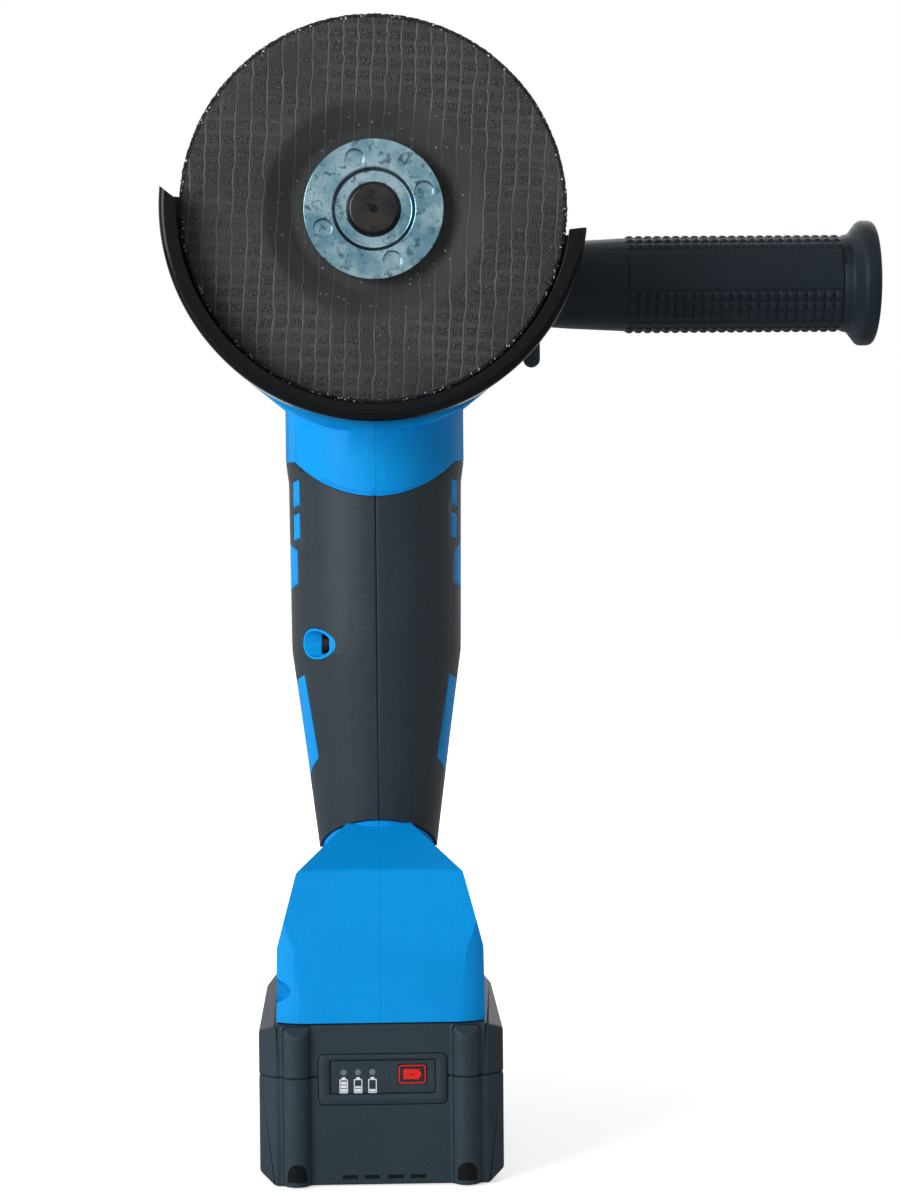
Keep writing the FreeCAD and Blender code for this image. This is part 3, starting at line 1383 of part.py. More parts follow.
def make_housing_solid():
    """Everything that both housing halves fill together, before they are parted."""
    barrel = turned("housing_barrel", WORLD, [
        ("0", "foot_crown - 2"), ("waist_radius", "foot_crown - 2")] + GRIP_OUTLINE
        + [("neck_radius", "housing_top"), ("0", "housing_top")])
    step = turned("housing_hem_ring", WORLD, [
        ("waist_radius - hem_step", "foot_crown - 3"), ("palm_radius + 1", "foot_crown - 3"),
        ("palm_radius + 1", "palm_height"), ("palm_radius - hem_step", "palm_height"),
        ("waist_radius - hem_step", "waist_height")])
    necked = cut("housing_necked", barrel,
                 combine("Common", "housing_hem_step", [step, under_the_hem("housing_hem")]))
    lip = turned("housing_lip", WORLD, [
        ("neck_radius - 1", "lip_root_height - 1"),
        ("neck_radius", "lip_root_height"),
        ("lip_tip_radius", "lip_tip_height"),
        ("neck_radius - 1", "lip_root_height + 4"),
    ])
    flat_lip = combine("Common", "housing_flat_lip", [lip, box(
        "lip_limits", ("-lip_tip_radius - 1", "lip_tip_radius + 1"), ("-lip_front", "lip_front"),
        ("waist_height", "housing_top"))])
    visor = turned("housing_visor", SPINDLE, [
        ("lip_arc_radius - lip_arc_sheet", "lip_arc_back"),
        ("lip_arc_radius", "lip_arc_back"),
        ("lip_arc_radius", "lip_arc_bend"),
        ("lip_arc_radius - lip_arc_fall", "lip_front"),
        ("lip_arc_radius - lip_arc_fall - lip_arc_sheet", "lip_front"),
        ("lip_arc_radius - lip_arc_sheet", "lip_arc_bend"),
    ])
    low_visor = combine("Common", "housing_low_visor", [visor, rod(
        "visor_tips", "y", "lip_arc_tips", ("0", "lip_arc_middle"), ("-lip_front", "0"))])
    collar = prism("housing_collar", WORLD, "XY_Plane",
                   [square_with_round_corners("case_flange_half", "case_corner / 2")],
                   "collar_base", "housing_top")
    outside = combine("Fuse", "housing_outside", [
        necked, flat_lip, low_visor, collar, foot_block("foot_outside", "0", "foot_base")])

    cavity = turned("housing_cavity", WORLD, [
        ("0", "foot_crown - 2"),
        ("waist_radius - cover_thickness - housing_wall", "foot_crown - 2"),
        ("waist_radius - cover_thickness - housing_wall", "waist_height"),
        ("palm_radius - cover_thickness - housing_wall", "palm_height"),
        ("palm_radius - cover_thickness - housing_wall + 2", "swell_height - 2"),
        ("small_bearing_radius - 2", "swell_height - 2"),
        ("small_bearing_radius - 2", "rear_bearing_base"),
        ("small_bearing_radius + seat_gap", "rear_bearing_base"),
        ("small_bearing_radius + seat_gap", "rear_bearing_top"),
        ("stator_radius + seat_gap", "motor_floor"),
        ("stator_radius + seat_gap", "baffle_base"),
        ("fan_chamber_radius", "baffle_base"),
        ("fan_chamber_radius", "housing_top + 1"),
        ("0", "housing_top + 1"),
    ])
    upper_room = foot_block("foot_inside", "foot_wall", "deck_top")
    front_block = "foot_front_block - foot_front"
    rail_room = box("foot_rail_room",
                    ("-head_half_width - rail_reach - slide_gap", "head_half_width + rail_reach + slide_gap"),
                    (front_block, "foot_back + 2"), ("rail_base - slide_gap", "deck_base"))
    mouth = box("foot_mouth", ("-head_half_width - slide_gap", "head_half_width + slide_gap"),
                (front_block, "foot_back + 2"), ("foot_base - 2", "deck_base"))
    vents = loose("housing_vents", [
        Part.makeBox(size("vent_width"), size("neck_radius"), size("vent_height"), vector(
            (step - (size("vent_count") - 1) / 2) * size("vent_width") * 2 - size("vent_width") / 2,
            size("neck_radius") / 2, size("baffle_base + baffle_thickness + 1")))
        for step in range(int(size("vent_count")))])
    hollow = cut("housing_hollow", outside, cavity, upper_room, rail_room, mouth, vents)

    bosses = [hollow]
    for name, spot in (("waist", HOUSING_SCREWS[2]), ("back", HOUSING_SCREWS[4])):
        reach = "waist_screw_seat - 1" if name == "waist" else "foot_shoulder_half - 1"
        bosses.append(rod(name + "_boss", "x", "screw_boss_radius", spot[:2],
                          ("-(%s) - 1" % reach, reach)))
    cradle_block = box("switch_cradle_block", ("-palm_radius", "palm_radius"),
                       ("-cradle_half_depth", "cradle_half_depth"),
                       ("switch_body_base + cradle_inset", "switch_body_base + switch_body_height - cradle_inset"))
    cradle_gap = box("cradle_gap", ("-switch_half_width - seat_gap", "switch_half_width + seat_gap"),
                     ("-palm_radius", "palm_radius"), ("foot_base", "housing_top"))
    bosses.append(combine("Common", "switch_cradle", [cut("cradle_sides", cradle_block, cradle_gap), barrel]))
    solid = combine("Fuse", "housing_filled", bosses)

    holes = []
    for index, (across, height, seat) in enumerate(HOUSING_SCREWS, 1):
        holes.append(rod("well_%d" % index, "x", "screw_well_radius", (across, height),
                         ("-foot_front", "-" + seat)))
        holes.append(rod("bore_%d" % index, "x", "screw_shank_radius + seat_gap", (across, height),
                         ("-%s - 1" % seat, "screw_bite + 1")))
    holes.append(holes_along_z("housing_collar_holes", corner_spots(size("flange_screw_reach")),
                               size("case_screw_radius + seat_gap"),
                               size("collar_base") + 1, size("housing_top") + 1))
    skinned = cut("housing_skinned", solid, make_cover_ring())
    return cut("housing_solid", skinned, switch_slot("housing_switch_slot"), *holes)


def make_housing_halves():
    """The clamshell and its skin meet on the plane of the motor and spindle axes."""
    reach = "foot_front + 5"
    for name, span in (("left", ("-(%s)" % reach, "0")), ("right", ("0", reach))):
        side = box("half_space_" + name, span, ("-(%s)" % reach, "foot_back + 5"),
                   ("foot_base - 5", "housing_top + 5"))
        combine("Common", "housing_" + name, [document.getObject("housing_solid"), side])
        combine("Common", "grip_cover_" + name, [document.getObject("cover_ring"), side])


def make_housing_screws():
    screws = []
    for across, height, seat in HOUSING_SCREWS:
        screw = screw_shape(size("screw_shank_radius"), size(seat + " + screw_bite"),
                            size("screw_head_radius"), size("screw_head_height"))
        screws.append(placed(screw, -size(seat), size(across), size(height), FACING["-x"]))
    loose("housing_screws", screws)


def make_switch():
    top = "switch_base + switch_length"
    stem = box("switch_stem", ("-switch_half_width", "switch_half_width"),
               ("palm_radius / 2 + switch_plate_depth + 1", "swell_radius + switch_rise - 1"), ("switch_base", top))
    plate = box("switch_plate",
                ("-switch_half_width - switch_plate_margin", "switch_half_width + switch_plate_margin"),
                ("palm_radius / 2 + switch_plate_depth",
                 "palm_radius / 2 + switch_plate_depth + switch_plate_thickness"),
                ("switch_base - 1", top + " + 1"))
    ridge = box("switch_ridge", ("-switch_half_width", "switch_half_width"),
                ("swell_radius", "swell_radius + switch_rise"), ("%s - ridge_length" % top, top))
    combine("Fuse", "slide_switch", [stem, plate, ridge])
    box("switch_body", ("-switch_half_width", "switch_half_width"),
        ("-switch_body_front", "waist_screw_reach - screw_boss_radius - seat_gap"),
        ("switch_body_base", "switch_body_base + switch_body_height"))


def make_foot_insides():
    tray_front = "foot_center - tray_half_length"
    tray_back = "foot_center + tray_half_length"
    base = "deck_top + seat_gap"
    outer = box("tray_outer", ("-tray_half_width", "tray_half_width"), (tray_front, tray_back),
                (base, base + " + tray_height"))
    inner = box("tray_inner", ("tray_wall - tray_half_width", "tray_half_width - tray_wall"),
                (tray_front + " + tray_wall", tray_back + " - tray_wall"),
                (base + " + tray_floor", base + " + tray_height + 1"))
    cut("control_tray", outer, inner)
    floor = base + " + tray_floor"
    chip_base = floor + " + board_thickness"
    inside = "(tray_half_width - tray_wall - seat_gap)"
    front, back = tray_front + " + tray_wall + seat_gap", tray_back + " - tray_wall - seat_gap"
    parts = [box("control_plate", ("-" + inside, inside), (front, back), (floor, chip_base))]
    for index in range(6):
        across = "(%d - 2.5) * chip_pitch" % index
        parts.append(box("control_chip_%d" % index, (across + " - chip_half_width", across + " + chip_half_width"),
                         ("foot_center - tray_half_length * 0.6", "foot_center - tray_half_length * 0.4"),
                         (chip_base, chip_base + " + chip_height")))
    parts.append(rod("control_capacitor", "z", "capacitor_radius",
                     ("tray_half_width / 2 - 3", "foot_center + tray_half_length / 2"),
                     (chip_base, chip_base + " + capacitor_height")))
    combine("Fuse", "control_board", parts)

    front = "foot_front_block - foot_front + seat_gap"
    box("terminal_block", ("-terminal_half_width", "terminal_half_width"),
        (front, front + " + terminal_depth"), ("rail_base", "deck_base - seat_gap"))
    start = size(front + " + terminal_depth")
    blade = Part.makeBox(size("blade_thickness"), size("blade_length"), size("blade_height"))
    loose("terminal_blades", [
        placed(blade, x - size("blade_thickness") / 2, start, size("blade_base"))
        for x in blade_places()])


def blade_places():
    return [(step - 1.5) * size("blade_spacing") for step in range(4)]


# battery pack

def pack_block(name, wall, base, top):
    """The pack's outer form drawn in by wall: its plan, cut to its end-on outline."""
    plan = prism(name + "_plan", WORLD, "XY_Plane", [[
        ("pack_corner + %s - pack_half_width" % wall, "%s - pack_front" % wall),
        ("pack_half_width - pack_corner - %s" % wall, "%s - pack_front" % wall),
        ("pack_half_width - %s" % wall, "pack_corner + %s - pack_front" % wall),
        ("pack_half_width - %s" % wall, "pack_taper_start"),
        ("pack_back_half - %s" % wall, "pack_back - pack_corner - %s" % wall),
        ("pack_back_half - pack_corner - %s" % wall, "pack_back - %s" % wall),
        ("pack_corner + %s - pack_back_half" % wall, "pack_back - %s" % wall),
        ("%s - pack_back_half" % wall, "pack_back - pack_corner - %s" % wall),
        ("%s - pack_half_width" % wall, "pack_taper_start"),
        ("%s - pack_half_width" % wall, "pack_corner + %s - pack_front" % wall),
    ]], base, top)
    outline = prism(name + "_outline", WORLD, "XZ_Plane", [[
        ("%s - pack_base_half" % wall, wall),
        ("pack_base_half - %s" % wall, wall),
        ("pack_half_width - %s" % wall, "pack_chamfer + %s" % wall),
        ("pack_half_width - %s" % wall, "pack_shoulder - %s" % wall),
        ("foot_half_width - %s" % wall, "pack_deck - %s" % wall),
        ("%s - foot_half_width" % wall, "pack_deck - %s" % wall),
        ("%s - pack_half_width" % wall, "pack_shoulder - %s" % wall),
        ("%s - pack_half_width" % wall, "pack_chamfer + %s" % wall),
    ]], "-pack_front - 1", "pack_back + 1")
    return combine("Common", name, [plan, outline])


def pack_screw_spots():
    front = size("pack_screw_reach")
    back = size("rear_screw_reach")
    return [(-front, -size("pack_column_depth")), (front, -size("pack_column_depth")),
            (-back, size("pack_back - rear_screw_inset")), (back, size("pack_back - rear_screw_inset"))]


def make_pack_cases():
    outer = pack_block("pack_outside", "0", "0", "pack_deck")
    inner = pack_block("pack_inside", "pack_wall", "0", "pack_deck")
    columns = []
    for index, (x, y) in enumerate(pack_screw_spots()):
        front = index < 2
        radius = size("column_radius") if front else size("rear_screw_inset") - 0.2
        top = size("pack_deck")
        column = Part.makeCylinder(radius, top, vector(x, y, 0))
        if front:
            reach = radius - size("column_inset")
            edge = y - radius
            shoulder = top - size("column_bevel")
            profile = [(edge - 1, top + 1), (edge - 1, shoulder), (edge, shoulder), (edge + reach, top),
                       (edge + reach, top + 1), (edge - 1, top + 1)]
            wedge = Part.makePolygon([vector(x - 2 * radius, across, height) for across, height in profile])
            column = column.cut(Part.Face(wedge).extrude(vector(4 * radius, 0, 0)))
        columns.append(column)
    column_item = loose("pack_columns", columns)
    wells = holes_along_z("pack_wells", pack_screw_spots(), size("pack_well_radius"),
                          -1, size("pack_well_depth"))
    bores = holes_along_z("pack_bores", pack_screw_spots(), size("screw_shank_radius * 0.8 + seat_gap"),
                          -1, size("pack_split + screw_bite + 1"))

    head = box("pack_head", ("-head_half_width", "head_half_width"), ("-head_front", "head_back"),
               ("pack_deck - pack_wall", "head_top"))
    rails = box("pack_rails", ("-head_half_width - rail_reach", "head_half_width + rail_reach"),
                ("-head_front", "head_back"), ("rail_base", "rail_base + rail_height"))
    head_room = box("pack_head_room", ("pack_wall - head_half_width", "head_half_width - pack_wall"),
                    ("blade_length + 3 - head_front", "head_back - pack_wall"),
                    ("pack_deck - 2 * pack_wall", "head_top - pack_wall"))
    latch_side = "latch_half_width + slide_gap"
    latch_wall = box("latch_well", ("-(%s) - 1.2" % latch_side, latch_side + " + 1.2"),
                     ("latch_front - 1.5", "latch_back + 1.5"), ("latch_floor - 1.5", "pack_deck"))
    latch_room = box("latch_room", ("-(%s)" % latch_side, latch_side),
                     ("latch_front - slide_gap", "latch_back + slide_gap"), ("latch_floor", "pack_deck + 1"))
    slots = loose("pack_contact_slots", [
        Part.makeBox(size("contact_slot_width"), size("blade_length + 1"),
                     size("head_top + 1 - blade_base + contact_slot_depth"),
                     vector(x - size("contact_slot_width / 2"), -size("head_front + 0.5"),
                            size("blade_base - contact_slot_depth")))
        for x in blade_places()])
    shell = cut("pack_shell", combine("Fuse", "pack_solid", [outer, head, rails]), inner, head_room)
    whole = combine("Fuse", "pack_filled", [shell, column_item, latch_wall])
    gauge_low, gauge_high = "gauge_base - slide_gap / 2", "gauge_base + gauge_height + slide_gap / 2"
    gauge_room = box("gauge_room",
                     ("gauge_center - gauge_half_width - slide_gap / 2",
                      "gauge_center + gauge_half_width + slide_gap / 2"),
                     ("-pack_front - 1", "pack_wall - pack_front + 0.5"), (gauge_low, gauge_high))
    finished = cut("pack_finished", whole, latch_room, slots, gauge_room, wells, bores)
    for name, span in (("battery_case_bottom", ("-1", "pack_split")),
                       ("battery_case_top", ("pack_split", "head_top + 1"))):
        layer = box(name + "_layer", ("-pack_half_width - 1", "pack_half_width + 1"),
                    ("-pack_front - 5", "pack_back + 5"), span)
        combine("Common", name, [finished, layer])
    screw = screw_shape(size("screw_shank_radius * 0.8"), size("pack_split + screw_bite - pack_well_depth"),
                        size("pack_well_radius") - 0.3, size("screw_head_height"))
    loose("battery_case_screws", [placed(screw, x, y, size("pack_well_depth"), FACING["-z"])
                                  for x, y in pack_screw_spots()])


def cell_spots():
    return [(size("cell_pitch") * column - size("first_cell_front"),
             size("lower_row") + size("cell_pitch") * row)
            for column in range(int(size("cell_columns"))) for row in range(int(size("cell_rows")))]


def make_cells():
    length = size("cell_length")
    cell = Part.makeCylinder(size("cell_radius"), length, vector(-length / 2, 0, 0), vector(1, 0, 0))
    loose("battery_cells", [placed(cell, 0, y, z) for y, z in cell_spots()])
    thick = size("holder_thickness")
    front = -size("holder_front")
    depth = size("cells_back + holder_margin") - front
    base = size("pack_wall + seat_gap")
    holder = Part.makeBox(thick, depth, size("holder_top") - base, vector(0, front, base))
    for y, z in cell_spots():
        holder = holder.cut(Part.makeCylinder(size("cell_radius + seat_gap"), thick, vector(0, y, z),
                                              vector(1, 0, 0)))
    outer = size("holder_outer")
    loose("cell_holders", [placed(holder, -outer, 0, 0), placed(holder, outer - thick, 0, 0)])
    thin = size("strap_thickness")
    half = length / 2
    pitch = size("cell_pitch")
    width = size("strap_width")
    strap = Part.makeBox(thin, width, pitch + width, vector(0, -width / 2, -width / 2))
    loose("cell_straps", [
        placed(strap, side * half - (thin if side < 0 else 0), size("cell_pitch") * column
               - size("first_cell_front"), size("lower_row"))
        for side in (-1, 1) for column in range(int(size("cell_columns")))])
    box("battery_board", ("holder_inset - holder_outer", "holder_outer - holder_inset"),
        ("-head_front", "cells_back - 14"), ("holder_top", "holder_top + board_thickness"))


def make_contacts():
    """Each clip grips one blade between two leaves that stand on its base."""
    leaf = size("clip_leaf")
    gap = size("blade_thickness / 2 + seat_gap")
    length = size("blade_length") - 2
    rest = size("contact_slot_depth - seat_gap * 2")
    height = size("blade_height - seat_gap * 2") + rest
    clip = Part.makeBox(2 * (gap + leaf), length, height, vector(-gap - leaf, 0, -rest))
    clip = clip.cut(Part.makeBox(2 * gap, length, height, vector(-gap, 0, size("clip_base") - rest)))
    loose("contact_clips", [placed(clip, x, 0.5 - size("head_front"), size("blade_base"))
                            for x in blade_places()])


def make_gauge():
    left, right = "gauge_center - gauge_half_width", "gauge_center + gauge_half_width"
    face = "-gauge_face"
    panel = box("gauge_plate", (left, right), (face, face + " + gauge_thickness"),
                ("gauge_base", "gauge_base + gauge_height"))
    button_room = box("gauge_button_room",
                      ("button_center - button_width / 2 - slide_gap / 2",
                       "button_center + button_width / 2 + slide_gap / 2"),
                      ("-pack_front - 1", "-pack_front + 3"),
                      ("button_base - slide_gap / 2", "button_base + button_height + slide_gap / 2"))
    lights = [rod("light_hole_%d" % step, "y", "light_radius + seat_gap",
                  (light_place(step), "light_height"), ("-pack_front - 1", "-pack_front + 3"))
              for step in range(int(size("light_count")))]
    cut("gauge_panel", panel, button_room, *lights)
    lens = Part.makeCylinder(size("light_radius"), size("gauge_thickness"), vector(0, 0, 0), vector(0, 1, 0))
    loose("level_lights", [placed(lens, size(light_place(step)), size(face), size("light_height"))
                           for step in range(int(size("light_count")))])
    box("check_button", ("button_center - button_width / 2", "button_center + button_width / 2"),
        ("-pack_front - button_stand", "-pack_front + gauge_thickness - button_travel + gauge_recess"),
        ("button_base", "button_base + button_height"))
    back = face + " + gauge_thickness + 0.15"
    box("gauge_board", ("gauge_center - gauge_half_width - 1", "gauge_center + gauge_half_width + 1"),
        (back, back + " + board_thickness"), ("gauge_base - 1", "gauge_base + gauge_height + 1"))


def light_place(step):
    return "light_center + (%d) * light_spacing" % (step - 1)


def make_latch():
    box("latch_button", ("-latch_half_width", "latch_half_width"), ("latch_front", "latch_back"),
        ("latch_base", "pack_deck + latch_rise"))


# build and export

NODES = [
    "spindle", "inner_flange", "grinding_wheel", "lock_nut", "ring_gear",
    "main_bearing_inner_ring", "main_bearing_outer_ring", "main_bearing_balls",
    "motor_bearing_inner_rings", "motor_bearing_outer_rings", "motor_bearing_balls",
    "pinion", "pinion_nut", "motor_shaft", "rotor_core", "rotor_magnets", "cooling_fan", "fan_baffle",
    "motor_stator", "motor_coils", "sensor_board",
    "gear_case", "gear_case_screws", "bearing_box", "bearing_box_screws", "bearing_retainer",
    "needle_sleeve", "spindle_lock_button", "spindle_lock_pin", "spindle_lock_spring",
    "guard", "guard_lever", "lever_pin", "handle_core", "handle_stud", "handle_grip",
    "housing_left", "housing_right", "grip_cover_left", "grip_cover_right", "housing_screws",
    "slide_switch", "switch_body", "control_tray", "control_board", "terminal_block", "terminal_blades",
    "battery_case_bottom", "battery_case_top", "battery_case_screws", "battery_cells", "cell_holders",
    "cell_straps", "battery_board", "contact_clips", "gauge_panel", "gauge_board", "level_lights",
    "check_button", "latch_button",
]


def main():
    make_spindle()
    make_inner_flange()
    make_grinding_wheel()
    make_lock_nut()
    make_main_bearing()
    make_motor_bearings()
    make_gears()
    make_gear_case()
    make_bearing_box()
    make_head_fasteners()
    make_spindle_lock()
    make_guard()
    make_guard_lever()
    make_side_handle()
    make_rotor()
    make_stator()
    make_fan()
    make_housing_solid()
    make_housing_halves()
    make_housing_screws()
    make_switch()
    make_foot_insides()
    make_pack_cases()
    make_cells()
    make_contacts()
    make_gauge()
    make_latch()
    document.recompute()
    for item in document.Objects:
        if "Invalid" in item.State or "Error" in item.State:
            raise RuntimeError("%s is %s" % (item.Name, item.State))
    for name in NODES:
        item = document.getObject(name)
        if item.Shape.isNull() or not item.Shape.isValid() or item.Shape.Volume <= 0:
            raise RuntimeError(name + " has no valid shape")
    for name in NODES:
        document.getObject(name).Shape.exportStep("parts/%s.step" % name)
    print("%d nodes written" % len(NODES))


main()
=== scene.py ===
import json
import math
import bmesh
import bpy
import numpy as np
from mathutils import Matrix, Vector


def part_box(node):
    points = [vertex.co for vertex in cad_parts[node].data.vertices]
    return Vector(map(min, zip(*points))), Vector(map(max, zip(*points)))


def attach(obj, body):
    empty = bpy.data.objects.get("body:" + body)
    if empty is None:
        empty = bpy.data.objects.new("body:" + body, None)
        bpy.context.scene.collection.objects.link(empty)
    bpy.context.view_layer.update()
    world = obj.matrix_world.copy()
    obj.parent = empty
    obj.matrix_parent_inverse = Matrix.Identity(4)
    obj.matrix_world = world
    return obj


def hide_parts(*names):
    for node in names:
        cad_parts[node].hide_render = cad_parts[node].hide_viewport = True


# Cordless angle grinder standing on its battery, in metres and in the part's own frame.
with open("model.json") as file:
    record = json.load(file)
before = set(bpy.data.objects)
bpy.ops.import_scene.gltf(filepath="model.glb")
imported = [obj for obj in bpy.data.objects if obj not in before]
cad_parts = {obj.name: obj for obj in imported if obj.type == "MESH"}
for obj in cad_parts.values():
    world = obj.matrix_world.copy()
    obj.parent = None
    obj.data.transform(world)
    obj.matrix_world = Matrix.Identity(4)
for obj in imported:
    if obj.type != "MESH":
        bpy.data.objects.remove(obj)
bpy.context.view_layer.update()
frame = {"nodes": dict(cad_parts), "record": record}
nodes = frame["nodes"]
record = frame["record"]
print("stage: frame loaded,", len(nodes), "nodes")

# camera: where it stands, where it points in degrees, and the length of its lens in millimetres
shot = {"place": (-0.0050, -0.9034, 0.2135), "yaw": 1.806, "pitch": -2.277, "roll": 0.5, "lens": 56.83}


def addCamera():
    # forward from yaw and pitch, level across it, and the picture turned about it by roll
    yaw, pitch, roll = (math.radians(shot[key]) for key in ("yaw", "pitch", "roll"))
    forward = Vector((math.sin(yaw) * math.cos(pitch), math.cos(yaw) * math.cos(pitch), math.sin(pitch)))
    level = forward.cross(Vector((0, 0, 1))).normalized()
    upright = level.cross(forward)
    right = level * math.cos(roll) - upright * math.sin(roll)
    up = upright * math.cos(roll) + level * math.sin(roll)
    data = bpy.data.cameras.new("camera")
    data.sensor_fit = "VERTICAL"
    data.sensor_height = 24
    data.lens = shot["lens"]
    data.clip_start = 0.01
    camera = bpy.data.objects.new("camera", data)
    turn = Matrix((right, up, -forward)).transposed().to_4x4()
    camera.matrix_world = Matrix.Translation(shot["place"]) @ turn
    bpy.context.scene.collection.objects.link(camera)
    bpy.context.scene.camera = camera


# lamps, all aimed at the middle of the tool: name, place, width and height of the soft box, watts
aim = (0, 0, 0.2)
lamps = [
    ("keyLamp", (-1.05, -1.0, 0.55), 0.8, 0.8, 21),
    ("fillLamp", (0.95, -1.0, 0.55), 0.8, 1.0, 0.3),
    ("backLamp", (0.3, 1.1, 0.9), 0.9, 0.7, 5),
]


def addLamps():
    # soft boxes, each turned to face the aim
    for name, place, width, height, power in lamps:
        data = bpy.data.lights.new(name, "AREA")
        data.shape = "RECTANGLE"
        data.size, data.size_y = width, height
        data.energy = power
        lamp = bpy.data.objects.new(name, data)
        lamp.location = place
        lamp.rotation_euler = (Vector(aim) - Vector(place)).to_track_quat("-Z", "Y").to_euler()
        bpy.context.scene.collection.objects.link(lamp)


addCamera()
addLamps()


def linear(red, green, blue):
    # a screen colour, 0 to 255, as the shader's linear light
    channels = [value / 255 for value in (red, green, blue)]
    return tuple(c / 12.92 if c <= 0.04045 else ((c + 0.055) / 1.055) ** 2.4 for c in channels) + (1,)


def newTree(name):
    # a new material with its node tree and its shader
    material = bpy.data.materials.new(name)
    material.use_nodes = True
    tree = material.node_tree
    return material, tree, tree.nodes["Principled BSDF"]


def feed(tree, value, socket):
    # a number or colour is set on the socket, and another node's output is linked to it
    if isinstance(value, (int, float, tuple)):
        socket.default_value = value
    else:
        tree.links.new(value, socket)


def addNode(tree, kind, place=(0, 0), inputs=None, **settings):
    # a node with its settings made first, and then its inputs fed
    node = tree.nodes.new(kind)
    node.location = place
    for key, value in settings.items():
        setattr(node, key, value)
    for key, value in (inputs or {}).items():
        feed(tree, value, node.inputs[key])
    return node


def calc(tree, operation, *values, clamp=False):
    # a Math node on numbers or sockets; gives its output socket
    place = (len(tree.nodes) * 40 - 1200, -len(tree.nodes) * 20)
    return addNode(tree, "ShaderNodeMath", place, dict(enumerate(values)), operation=operation,
                   use_clamp=clamp).outputs[0]


def ramp(tree, value, low, high, start=0.0, end=1.0, curve="SMOOTHSTEP"):
    # value from low to high becomes start to end, and stays there beyond
    inputs = {"Value": value, "From Min": low, "From Max": high, "To Min": start, "To Max": end}
    return addNode(tree, "ShaderNodeMapRange", (0, 0), inputs, interpolation_type=curve).outputs[0]


def blendColor(tree, share, first, second):
    # the first colour where share is 0 and the second where it is 1
    inputs = {"Factor": share, "A": first, "B": second}
    return addNode(tree, "ShaderNodeMix", (0, 0), inputs, data_type="RGBA").outputs["Result"]


def noiseOn(tree, vector, scale, detail=3.0, roughness=0.6, distortion=0.0):
    # clouds between 0 and 1, with scale lumps to a metre
    inputs = {"Vector": vector, "Scale": scale, "Detail": detail, "Roughness": roughness,
              "Distortion": distortion}
    return addNode(tree, "ShaderNodeTexNoise", (-800, 0), inputs).outputs["Fac"]


# the room: the strength of the world's own light, and the floor's own glow from near the tool to far
studio = {"light": 0.2, "floorHalf": 3.0, "floorDrop": 0.0004, "floorTone": 0.9, "near": 0.12, "far": 0.6,
          "nearGlow": 0.62, "farGlow": 1.05}


def dressWorld():
    # the background is white to the camera and in reflections, and a soft grey light otherwise
    world = bpy.data.worlds.new("studio")
    bpy.context.scene.world = world
    world.use_nodes = True
    tree = world.node_tree
    background = tree.nodes["Background"]
    path = addNode(tree, "ShaderNodeLightPath", (-800, 200))
    seen = calc(tree, "MAXIMUM", path.outputs["Is Camera Ray"], path.outputs["Is Glossy Ray"])
    seen = calc(tree, "MAXIMUM", seen, path.outputs["Is Transmission Ray"])
    feed(tree, ramp(tree, seen, 0.0, 1.0, studio["light"], 1.0, "LINEAR"), background.inputs["Strength"])
    background.inputs["Color"].default_value = (1, 1, 1, 1)


def addFloor():
    # a white floor whose own light fills in what the lamps leave dark, but less near the tool, for its shadow
    s = studio
    half, level = s["floorHalf"], -s["floorDrop"]
    mesh = bpy.data.meshes.new("floor")
    corners = [(-half, -half, level), (half, -half, level), (half, half, level), (-half, half, level)]
    mesh.from_pydata(corners, [], [(0, 1, 2, 3)])
    floor = bpy.data.objects.new("floor", mesh)
    bpy.context.scene.collection.objects.link(floor)
    material, tree, shader = newTree("floorWhite")
    shader.inputs["Base Color"].default_value = (s["floorTone"],) * 3 + (1,)
    shader.inputs["Roughness"].default_value = 0.9
    shader.inputs["Emission Color"].default_value = (1, 1, 1, 1)
    path = addNode(tree, "ShaderNodeLightPath", (-500, -200))
    coords = addNode(tree, "ShaderNodeTexCoord", (-900, -400))
    reach = addNode(tree, "ShaderNodeVectorMath", (-700, -400), {0: coords.outputs["Object"]},
                    operation="LENGTH")
    glow = ramp(tree, reach.outputs["Value"], s["near"], s["far"], s["nearGlow"], s["farGlow"], "LINEAR")
    strength = calc(tree, "MULTIPLY", path.outputs["Is Camera Ray"], glow)
    feed(tree, strength, shader.inputs["Emission Strength"])
    mesh.materials.append(material)


dressWorld()
bpy.context.scene.view_settings.view_transform = "Standard"
addFloor()
print("stage: camera, lamps and floor")


def newGroup(name, inputs):
    # a node group that puts out a colour, a roughness and a normal
    group = bpy.data.node_groups.new(name, "ShaderNodeTree")
    for label, value in inputs.items():
        kind = "NodeSocketColor" if isinstance(value, tuple) else "NodeSocketFloat"
        group.interface.new_socket(label, in_out="INPUT", socket_type=kind).default_value = value
    for label, kind in (("Color", "Color"), ("Roughness", "Float"), ("Normal", "Vector")):
        group.interface.new_socket(label, in_out="OUTPUT", socket_type="NodeSocket" + kind)
    entry = addNode(group, "NodeGroupInput", (-1200, 0))
    leave = addNode(group, "NodeGroupOutput", (600, 0))
    return group, entry.outputs, leave.inputs


def relief(tree, height, distance=1.0):
    # a normal from a height, which counts in units of distance
    inputs = {"Strength": 1.0, "Distance": distance, "Height": height}
    return addNode(tree, "ShaderNodeBump", (300, 350), inputs).outputs["Normal"]


spindleJoint = next(joint for joint in record["behaviour"]["joints"] if joint["name"] == "spindle_spin")
spindleHeight = spindleJoint["pos_m"][2]


